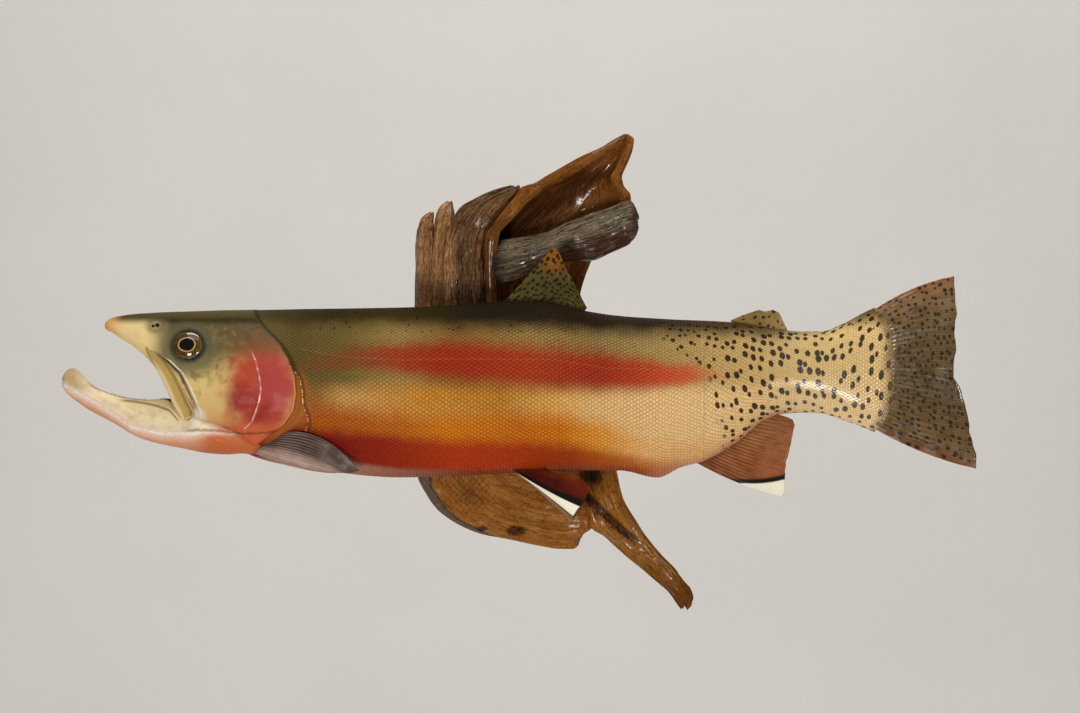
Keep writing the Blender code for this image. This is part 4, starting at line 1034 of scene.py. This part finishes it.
def caudal_out(s, t):
    """Soft folds, and one sharp pleat a little above the middle."""
    return (2.4 * sin(5 * pi * s) - 2.6 * bump(s - 0.52, 0.016) + 1.4 * bump(s - 0.49, 0.016)) * t


def fin(name, slot, paint, *shape, **more):
    form = new_form("across", "reach")
    wrap(form, fin_rings(*shape, **more))
    finished(name + "_rays", form, paint, slot, name)


dorsal_paint = fin_paint(
    "dorsal_fin_paint", 13, ((0, 84, 74, 34), (0.5, 70, 62, 26), (1, 92, 78, 32)), (96, 84, 42), (34, 28, 12),
    lined=0.2, spots=(13, 12, 0.24), belly=(50, 42, 18), apex=(164, 92, 22), wet=0.15)
fin("dorsal_fin", "upper_fins", dorsal_paint, DORSAL_BASE, DORSAL_EDGE, 13, (3.2, 1.2), (0, 0),
    soft_folds(1.5, 1), ridged=0.4)
adipose_paint = fin_paint(
    "adipose_fin_paint", 5, ((0, 122, 100, 56), (0.6, 132, 106, 58), (1, 170, 142, 94)), (150, 124, 76),
    (100, 80, 44), lined=0, spots=(7, 3.2, 0.12), belly=(112, 92, 50), wet=0.5)
fin("adipose_fin", "upper_fins", adipose_paint, ADIPOSE_BASE, ADIPOSE_EDGE, 5, (6, 2.6), (0, 0),
    soft_folds(1, 0), ridged=0, per_ray=20)
caudal_paint = fin_paint(
    "caudal_fin_paint", 34, ((0, 138, 88, 52), (0.08, 128, 98, 60), (0.3, 96, 74, 42), (0.6, 84, 66, 32),
                             (0.92, 100, 74, 38), (1, 122, 76, 42)),
    (150, 126, 84), (34, 24, 12), lined=0.14, spots=(24, 12, 0.18), belly=(120, 96, 58), wet=1)
fin("caudal_fin", "upper_fins", caudal_paint, CAUDAL_BASE, CAUDAL_EDGE, 34, (4.4, 1.2), (5.5, 4.4),
    caudal_out, steps=40, ridged=0.7)
anal_paint = fin_paint(
    "anal_fin_paint", 22, ((0, 112, 64, 36), (0.3, 150, 86, 48), (1, 140, 92, 54)), (178, 116, 70),
    (50, 28, 16), lined=0.35, tipped=(0.52, 0.48, 0.09), belly=(84, 56, 38), wet=0.4)
fin("anal_fin", "lower_fins", anal_paint, ANAL_BASE, ANAL_EDGE, 22, (3.2, 1.2), (-3.4, -1.5),
    soft_folds(1.5, 1.4))
pelvic_paint = fin_paint(
    "pelvic_fin_paint", 10, ((0, 70, 16, 0), (0.4, 78, 20, 0), (1, 130, 52, 8)), (112, 40, 6), (36, 8, 0),
    lined=0.2, tipped=(0.12, 0.25, 0.2), belly=(96, 40, 10), wet=0.06)
far_paint = fin_paint(
    "far_pelvic_fin_paint", 10,
    ((0, 150, 124, 104), (0.08, 104, 76, 56), (0.4, 90, 46, 24), (1, 130, 60, 24)),
    (140, 100, 66), (56, 26, 12), lined=0.3, belly=(96, 40, 10), wet=0.1)
pectoral_paint = fin_paint(
    "pectoral_fin_paint", 13, ((0, 74, 58, 54), (0.35, 72, 54, 50), (0.52, 84, 66, 60), (0.66, 160, 132, 122),
                               (0.82, 184, 154, 142), (1, 156, 122, 110)),
    (160, 140, 130), (52, 42, 38), lined=0.4, wet=0.15)
for side, end, edge, paint in ((1, "left", PELVIC_EDGE, pelvic_paint),
                               (-1, "right", FAR_PELVIC_EDGE, far_paint)):
    fin("pelvic_fin_" + end, "lower_fins", paint, PELVIC_BASE, edge, 10, (3.4, 1.2), (1, 3),
        lambda s, t: side * pelvic_out(s, t))
for side, end in ((1, "left"), (-1, "right")):
    fin("pectoral_fin_" + end, "breast_fins", pectoral_paint, PECTORAL_BASE, PECTORAL_EDGE, 13, (3.4, 1.2),
        (15, 3), lambda s, t: side * pectoral_out(s, t))

# ------------------------------------------------------------------ driftwood
# One weathered root of softwood, cleaned, varnished and cut flat behind: splintered slats
# and a slab on the left, a curled wing round a hollow, a stub branch, and the lower roots.
SLAT_A = (  # up, left, right, back, front
    (30, -90, -79.9, 6, 34), (58.4, -96.1, -79.9, 6, 34), (119.4, -95.1, -79.4, 8, 33),
    (131.6, -94.1, -79.9, 10, 32), (139.3, -91.6, -80.4, 12, 30), (143.3, -87.5, -80, 14, 28),
    (145.5, -82.9, -80.2, 16, 25),
)
SLAT_B = (
    (20, -81.4, -70.2, 5, 40), (106.2, -81.4, -69.2, 6, 40), (131.6, -80.6, -65.7, 8, 40),
    (143.8, -78.8, -62.7, 10, 38), (150.3, -75.3, -63.5, 13, 34), (154.6, -68.7, -65, 18, 29),
)
SLAB = (
    (-20, -66, -36.7, 4, 40), (58.4, -72.3, -36.7, 4, 48), (106.2, -72.3, -37.3, 5, 50),
    (123.5, -70, -36.5, 6, 52), (133.7, -67.2, -33, 7, 52), (142.8, -64.1, -25.5, 8, 52),
    (151.5, -58, -18, 10, 50), (159.1, -43.8, -11.7, 12, 47), (165.2, -28.6, -6.8, 14, 44),
    (168.4, -16.4, -8.3, 20, 38),
)
LOWER = (
    (20, -80, 30, 5, 40), (-58.4, -94.1, 46.6, 5, 42), (-73.6, -93.8, 46.1, 6, 42),
    (-81.7, -90.1, 46.1, 7, 41), (-100, -77.8, 49, 9, 38), (-110.2, -64.5, 52, 11, 36),
    (-115.8, -54, 52, 12, 35), (-120.8, -40.8, 45, 13, 34), (-125.2, -17.4, 42.1, 14, 32),
    (-130.1, 4.9, 40.1, 15, 30), (-132.9, 21.2, 37, 17, 27),
)
ROOT = (
    (20, 16, 48, 6, 42), (-58.4, 36.4, 70.8, 6, 46), (-68.5, 40.5, 72.4, 7, 46), (-89.8, 43.6, 77.1, 9, 45),
    (-110.2, 47.6, 88.7, 11, 42), (-116.7, 52.2, 92.7, 11.5, 41), (-121.7, 60.8, 96.2, 12, 40),
    (-130.8, 71, 103.9, 13, 38), (-139.9, 81.1, 111.6, 14, 35), (-149.8, 92.9, 121.4, 15, 33),
    (-160, 104.5, 128.9, 16, 31), (-167.1, 114.3, 134.4, 17, 30), (-175.2, 121.2, 136.4, 18, 28),
    (-180.3, 125.4, 131.5, 20, 26),
)
CORE = ((-58, -92, 68, 0, 43), (-30, -89, 60, 0, 45), (20, -88, 52, 0, 46), (58, -94, 40, 0, 47))
CURL = (  # up, left, right, back, front of the left rim and of the right, hollow, thickness left and right
    (0, -37.7, 36, 4, 44, 34, 24, 14, 10), (58.4, -37.7, 38.5, 4, 48, 34, 14, 10, 9),
    (82.9, -37.7, 43.2, 4, 49, 34, 13, 10, 9), (96.1, -37.9, 47.6, 4, 50, 34, 12, 10, 9),
    (115.4, -38.1, 56.8, 4, 52, 35, 12, 11, 9), (127.6, -37.7, 66.9, 5, 53, 37, 12, 12, 9),
    (141.8, -27.6, 74, 6, 53, 40, 13, 14, 9), (153, -18.4, 83.6, 8, 53, 42, 15, 16, 9),
    (162.1, -11.3, 82.8, 10, 52, 42, 18, 19, 9), (167.8, -7.6, 78.1, 12, 51, 42, 20, 21, 9),
    (171.3, 3.9, 76.7, 13, 51, 42, 21, 20, 9), (175.9, 11.5, 75.9, 15, 51, 42, 23, 21, 9),
    (184.1, 25.7, 79.1, 18, 50, 42, 27, 21, 8), (193, 41.5, 83.2, 22, 48, 42, 31, 17, 8),
    (200.7, 58, 85.4, 26, 46, 42, 36, 11, 7), (208.2, 70.6, 86.2, 30, 44, 41, 40, 6.5, 6),
    (212.1, 77.7, 81.6, 33, 41, 39, 38, 1.8, 1.6),
)
BRANCH = (  # along, upper edge, lower edge, out from the wall, half depth
    (-36.6, 122.2, 86.7, 34, 13), (-20.4, 124.6, 88.8, 44, 15), (-3.1, 127, 94.8, 50, 16),
    (11, 129.7, 99.9, 53, 16), (29.3, 137.9, 105.4, 55, 16), (51.5, 145.7, 106.4, 57, 17),
    (65.7, 150.3, 112.4, 58, 18), (77, 155.2, 118, 58, 18), (82.5, 156.4, 120.8, 58, 17),
    (86.6, 151.4, 126, 58, 14), (88.8, 144, 132.6, 58, 9),
)
WOOD_FILL = 0.62


def wood_relief(a, b, along, rough):
    """Grooves, cracks and worn hollows that run with the fibres."""
    out = 1.3 * waver(a / 9, b / 9, along / 50)
    out += 0.7 * waver(a / 2.8, b / 2.8, along / 40)
    out += 0.3 * waver(a / 1.2, b / 1.2, along / 14)
    crack = waver(a / 6, b / 6, along / 70 + 9)
    out -= 2.2 * bump(crack, 0.07) * ease(-0.3, 0.2, waver(a / 30, b / 30, along / 30 + 4))
    return out * rough


def grown(value, fill):
    return copysign(abs(value) ** fill, value)


def upright_rings(table, rows, around, rough=1, flat_back=False, ragged_end=0, fibres=None, carve=None):
    """Level rings up a piece of wood, with where each point lies among its fibres.

    fibres gives that place where the fibres bend; carve gives how far the front is cut in.
    """
    left, right, back, front = curves(table)
    rings = []
    for row, z in enumerate(spread(table[0][0], table[-1][0], rows)):
        cx, hx = (left(z) + right(z)) / 2, (right(z) - left(z)) / 2
        cy, hy = (back(z) + front(z)) / 2, (front(z) - back(z)) / 2
        thin = min(1, hx / 8, hy / 8)
        ring = []
        for turn in turns(around):
            ex, ey = grown(cos(turn), WOOD_FILL), grown(sin(turn), WOOD_FILL)
            grain = fibres(cx + hx * ex, hy * ey, z) if fibres else (26 * ex, 20 * ey, z)
            a, b = grain[:2]
            out = (wood_relief(*grain, rough) - 0.5) * thin
            if carve and ey < 0:
                out -= carve(cx + hx * ex, z) * min(1, -2 * ey)
            y = -cy + (hy + out) * ey
            if flat_back and ey > 0:
                y = min(y, 0) if ey < 0.3 else 0
            end = ragged_end * waver(a / 3, b / 3, 1) * ease(0.86, 1, row / (rows - 1))
            ring.append((cx + (hx + out) * ex, y, z + end, *grain))
        rings.append(ring)
    return rings


TROUGH = ((-28, 132), (-8, 143), (12, 154), (40, 172), (66, 190))


def curl_rings(rows=130, arc=64):
    """The curled wing: each level ring is a C, open towards the viewer."""
    places = curves(CURL)
    rings = []
    for z in spread(CURL[0][0], CURL[-1][0], rows):
        left, right, back, rim_left, rim_right, hollow, wall_left, wall_right = [at(z) for at in places]
        thin = min(1, wall_left / 6)
        outer, inner = [], []
        for i in range(arc):
            share = i / (arc - 1)
            turn = pi * share
            rim = rim_left + (rim_right - rim_left) * share
            sweep = sin(turn)
            over = (1 - grown(cos(turn), 0.8)) / 2
            a, b = 60 * over, 24 * sweep
            out = (wood_relief(a, b, z, 1) - 0.4) * thin
            lip = out * (1 - sweep)
            x = left + (right - left) * over - out * cos(turn)
            outer.append((x, -rim - lip + (rim - back) * sweep ** 0.6 + out * sweep, z, a, b, z))
            inside = wood_relief(a, b + 40, z, 0.9) * thin
            inner_left, inner_right = left + wall_left, right - wall_right
            x = inner_left + (inner_right - inner_left) * over + inside * cos(turn)
            deep = min(6, 0.5 * (hollow - back)) * bump(past_line(TROUGH, x, z), 8)
            y = -rim - lip + (rim - hollow) * sweep ** 0.7 + (deep - inside) * sweep
            inner.append((x, y, z, a, b + 40, z))
        rings.append(outer + inner[::-1])
    return rings


def branch_rings(rows=90, around=90):
    upper, lower, depth, half = curves(BRANCH)
    rings = []
    for x in spread(BRANCH[0][0], BRANCH[-1][0], rows):
        cz, hz = (upper(x) + lower(x)) / 2, (upper(x) - lower(x)) / 2
        ring = []
        for turn in turns(around):
            a, b = 18 * cos(turn), 18 * sin(turn)
            sway = 2 * waver(a / 20, b / 20, x / 40)
            flute = -1.3 * bump(sin(9 * turn + sway), 0.35) - 0.5 * bump(sin(21 * turn + 3 * sway), 0.4)
            out = (wood_relief(a, b, x * 0.7, 1) + flute) * min(1, half(x) / 12)
            end = 3 * waver(a / 5, b / 5, 7) * ease(80, 88.8, x)
            y = -depth(x) + (half(x) + out) * cos(turn)
            ring.append((x + end, y, cz + (hz + out) * sin(turn), a, b, x))
        rings.append(ring)
    return rings


def wood_paint(name, tones, streak_tone, pale, gloss=0.5, marks=None, lined=1):
    """Weathered, varnished softwood; the grain follows the fibres."""
    paint = Finish(name, Coat_Roughness=0.14, Coat_IOR=1.6, Specular_IOR_Level=0.14)
    a, b, along = paint.mark("fibre_a"), paint.mark("fibre_b"), paint.mark("fibre_along")
    fibre = paint.point(a, b, along * 0.1)
    fine = paint.grain(0.8, 6, fibre)
    broad = paint.grain(5, 5, fibre)
    split = paint.grain(2.2, 2, paint.point(a, b, along * 0.05))
    patch = paint.grain(24)
    pit = paint.grain(2.4, 5)
    places = spread(0.3, 0.7, len(tones))
    colour = (broad * 0.6 + patch * 0.4).track(*[(at, *tone) for at, tone in zip(places, tones)]).under(
        (pale, fine.rise(0.5, 0.32) * 0.6 * lined),
        (streak_tone, fine.rise(0.52, 0.66) * 0.8 * lined),
        ([tone * 0.5 for tone in streak_tone], (split - 0.5).size().rise(0.026, 0.006) * 0.9 * lined),
        (streak_tone, pit.rise(0.5, 0.7) * 0.6))
    if marks:
        colour = marks(paint, colour, fine, pit)
    paint.relief(fine * 1.2 + pit * 0.8 + broad, 0.9)
    varnish = gloss * patch.rise(0.46, 0.6)
    return paint.lay(Base_Color=colour, Roughness=0.66 - varnish * fine.rise(0.6, 0.45) * 0.4,
                     Coat_Weight=varnish * (0.4 + pit.rise(0.6, 0.4)))


def wood_piece(name, paint, slot, *ring_lists):
    form = new_form("fibre_a", "fibre_b", "fibre_along")
    for rings in ring_lists:
        wrap(form, closed(rings))
    finished(name + "_grain", form, paint, slot, name)


def slab_marks(paint, colour, fine, pit):
    """Pale, lilac-grey weathering down the outer edge, and a painted shadow of the fish across the foot of
    the slab.
    """
    x, z = paint.x, paint.z
    return colour.lit(x.track((-97, 1.5), (-68, 1.5), (-60, 0.5), (-46, 0.62), (-20, 0.6))).under(
        ((150, 138, 140), (x + pit * 8).rise(-85, -93) * fine.rise(0.62, 0.4) * 0.75),
        ((22, 12, 7), z.rise(88, 70) * fine.rise(0.38, 0.6) * 0.9 * x.rise(-84, -72)))


def curl_marks(paint, colour, fine, pit):
    """Painted shade in the hollow: dark along its trough and black in its lowest corner, with painted light
    on its right wall away from the trough; the whole curl is darker towards its left side.
    """
    x, z = paint.x, paint.z
    inside = paint.mark("fibre_b").rise(38, 41) * z.rise(190, 176)
    trough = (z - x.track((-40, 125), *TROUGH, (90, 204))).size()
    return colour.lit(x.track((-40, 0.6), (-28, 0.62), (-14, 0.9), (90, 1))).under(
        ((54, 26, 10), inside * trough.rise(20, 4) * 0.8),
        ((150, 98, 46), inside * (x - z * 0.5).rise(-40, -18) * trough.rise(16, 26) * 0.7),
        ((10, 5, 3), paint.oval(-27, 131, 11, 20, 0.4, 0.6) * inside))


def branch_marks(paint, colour, fine, pit):
    """Redder, darker wood along the underside and at the cut end, and painted shade on the left end, where
    the branch goes in behind the slab and the curl.
    """
    x, z = paint.x, paint.z
    low = (z - x.track((-37, 98), (20, 113), (89, 138))).rise(8, -8) * x.rise(-20, 10)
    return colour.under(((24, 16, 10), x.rise(-16, -32) * 0.85),
                        ((66, 32, 10), (low * (0.5 + fine * 0.9)).over(x.rise(80, 89)) * 0.9))


def lower_marks(paint, colour, fine, pit):
    """A strip of grey bark down the left side, two knots, and crossed marks of a saw."""
    x, z = paint.x, paint.z
    bark = x - z.track((-127, -24), (-121, -42), (-110, -65), (-100, -78), (-82, -90), (-58, -94))
    colour = colour.under(((96, 86, 76), (bark + pit * 6 - 3).rise(11, 7) * 0.9),
                          ((52, 42, 34), (bark + pit * 6 - 11).size().rise(1.6, 0.4) * 0.7))
    for place in ((-12, -117.5, 8, 3.8), (-40, -116, 4.5, 2.2)):
        knot = paint.oval(*place, 0.3, 0.8)
        colour = colour.under(((62, 34, 14), knot * 0.8), ((24, 12, 6), knot * pit.rise(0.5, 0.62) * 0.8))
    sawn = paint.oval(-48, -84, 17, 15, 0.5, 0.8)
    for slant in (0.9, -0.9):
        cut = ((x + z * slant) * 0.19).wave()
        colour = colour.under(((48, 28, 14), cut.rise(0.3, 0.05) * sawn * 0.7))
    return colour


GROOVE = ((44, -86), (59, -101), (72, -113), (86, -125))


def root_marks(paint, colour, fine, pit):
    """A dark, pitted groove down the root, and a dark recess at its top."""
    z = paint.z
    inside = (paint.past(GROOVE) + pit * 8 - 4).size().rise(7.5, 3.5)
    inside = inside * (z + pit * 8).rise(-126, -118) * z.rise(-82, -90)
    return colour.under(((70, 36, 14), inside * 0.85), ((22, 12, 6), inside * pit.rise(0.48, 0.62) * 0.9),
                        ((104, 58, 12), z.rise(-140, -172) * 0.7),
                        # painted shade for the recess at the top of the root
                        ((20, 11, 6), paint.oval(51, -71, 8, 9, 0.5, 0.8) * 0.9))


def bent_fibres(x, y, z):
    """Growth rings that sweep round with the lower edge of the wood."""
    return hypot(x - 37, 1.15 * (z + 8)) * 0.8, y, 60 * atan2(z + 8, x - 37)


slab_paint = wood_paint("driftwood_brown", ((104, 70, 44), (138, 96, 60), (164, 118, 76), (186, 138, 92)),
                        (58, 36, 22), (204, 164, 118), 0.4, slab_marks)
curl_paint = wood_paint("driftwood_red_brown", ((118, 66, 22), (150, 88, 32), (172, 106, 42), (190, 124, 54)),
                        (84, 46, 16), (204, 142, 72), 0.4, curl_marks)
branch_paint = wood_paint("driftwood_grey_brown",
                          ((76, 62, 46), (104, 88, 66), (124, 108, 86), (112, 90, 64)),
                          (38, 27, 18), (164, 152, 132), 1, branch_marks)
lower_paint = wood_paint("driftwood_tan", ((108, 62, 18), (140, 86, 30), (162, 104, 42), (178, 122, 56)),
                         (78, 44, 16), (196, 144, 82), 0.3, lower_marks, 0.4)
root_paint = wood_paint("driftwood_orange", ((120, 72, 20), (150, 94, 30), (172, 112, 42), (184, 126, 58)),
                        (80, 46, 18), (200, 148, 84), 0.45, root_marks, 0.7)
wood_piece("driftwood_slab", slab_paint, "driftwood", upright_rings(SLAB, 110, 110, rough=1.5, ragged_end=3),
           *[upright_rings(slat, 80, 60, rough=1.4, ragged_end=6) for slat in (SLAT_A, SLAT_B)])
wood_piece("driftwood_curl", curl_paint, "driftwood_dark", curl_rings())
wood_piece("driftwood_branch", branch_paint, "driftwood", branch_rings())
wood_piece("driftwood_core", lower_paint, "driftwood", upright_rings(CORE, 60, 100, flat_back=True))
wood_piece("driftwood_lower", lower_paint, "driftwood",
           upright_rings(LOWER, 100, 150, rough=0.8, fibres=bent_fibres))
wood_piece("driftwood_root", root_paint, "driftwood_dark",
           upright_rings(ROOT, 120, 80, ragged_end=7,
                         carve=lambda x, z: 3.2 * bump(past_line(GROOVE, x, z), 5)))

# ------------------------------------------------------------------ block
# A cut block of wood, screwed and glued, holds the fish off the driftwood. The fish hides it
# from the front.
paint = Finish("block_wood_paint", 0.6)
stretched = paint.add("VectorMath", {0: paint.spot, 1: (1, 0.08, 1)}, operation="MULTIPLY")
grain = paint.grain(2, 5, stretched)
paint.relief(grain, 0.3)
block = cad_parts["mount_block"]
block.data.materials.clear()
block.data.materials.append(
    paint.lay(Base_Color=grain.track((0.3, 96, 66, 40), (0.5, 140, 102, 64), (0.7, 168, 128, 86))))

# ------------------------------------------------------------------ floor, light and camera
# A pale floor that sweeps up far behind, soft studio lamps low in front and high behind, and
# a level camera before the fish's near side.
FLOOR_Z, SWEEP_Y, SWEEP_RADIUS, HALF_SIZE = -1.4, 5.8, 2, 12
stand = bmesh.new()
for vert in bmesh.ops.create_grid(stand, x_segments=1, y_segments=96, size=1)["verts"]:
    past = vert.co.y * HALF_SIZE - SWEEP_Y
    turn = min(max(past / SWEEP_RADIUS, 0), pi / 2)
    level = min(past, 0) + SWEEP_Y + SWEEP_RADIUS * sin(turn)
    rise = SWEEP_RADIUS * (1 - cos(turn)) + max(0, past - SWEEP_RADIUS * pi / 2)
    vert.co = (vert.co.x * HALF_SIZE, level, FLOOR_Z + rise)
floor_mesh = bpy.data.meshes.new("floor")
stand.to_mesh(floor_mesh)
stand.free()
floor_mesh.shade_smooth()
paint = Finish("floor_paint", 0.7)
floor_mesh.materials.append(
    paint.lay(Base_Color=paint.grain(600).track((0.3, 226, 224, 220), (0.7, 230, 228, 224))))
floor = placed("floor", floor_mesh)

world = bpy.data.worlds.new("studio")
bpy.context.scene.world = world
world.use_nodes = True
world.node_tree.nodes["Background"].inputs["Color"].default_value = (0.80, 0.80, 0.79, 1)
world.node_tree.nodes["Background"].inputs["Strength"].default_value = 0.16

# Name, place, what it is aimed at, width and height in metres, watts.
LAMPS = (
    ("key", (-0.8, -2.4, -0.62), (0, -0.1, 0), (0.6, 0.45), 22),
    ("fill", (0.9, -2.3, -0.75), (0, -0.1, 0), (0.5, 0.35), 13),
    ("top", (0, -1.6, 1.9), (0, -0.1, 0.05), (2, 0.8), 8),
    ("high", (0, -1, 3.4), (0, 2.4, 0.4), (3, 1), 84),
    ("behind", (0.7, 2.4, 1.9), (0, -0.1, 0), (1.5, 0.8), 28),
    ("backdrop", (0, 4.4, 3.4), (0, 7.8, -0.1), (3, 1), 120),
)
for name, place, aim, size, power in LAMPS:
    lamp = bpy.data.lights.new(name, "AREA")
    lamp.shape = "RECTANGLE"
    lamp.size, lamp.size_y = size
    lamp.energy = power
    lamp.color = (1, 0.97, 0.93)
    light = placed(name, lamp)
    light.location = place
    light.rotation_euler = (Vector(aim) - Vector(place)).to_track_quat("-Z", "Y").to_euler()

lens = bpy.data.cameras.new("camera")
lens.lens = 163.2
lens.sensor_width = 36
lens.clip_end = 60
camera = placed("camera", lens)
camera.location = (0.0082, -4.105, 0.0274)
camera.rotation_euler = (radians(90), 0, 0)
bpy.context.scene.camera = camera
bpy.context.scene.view_settings.view_transform = "Standard"
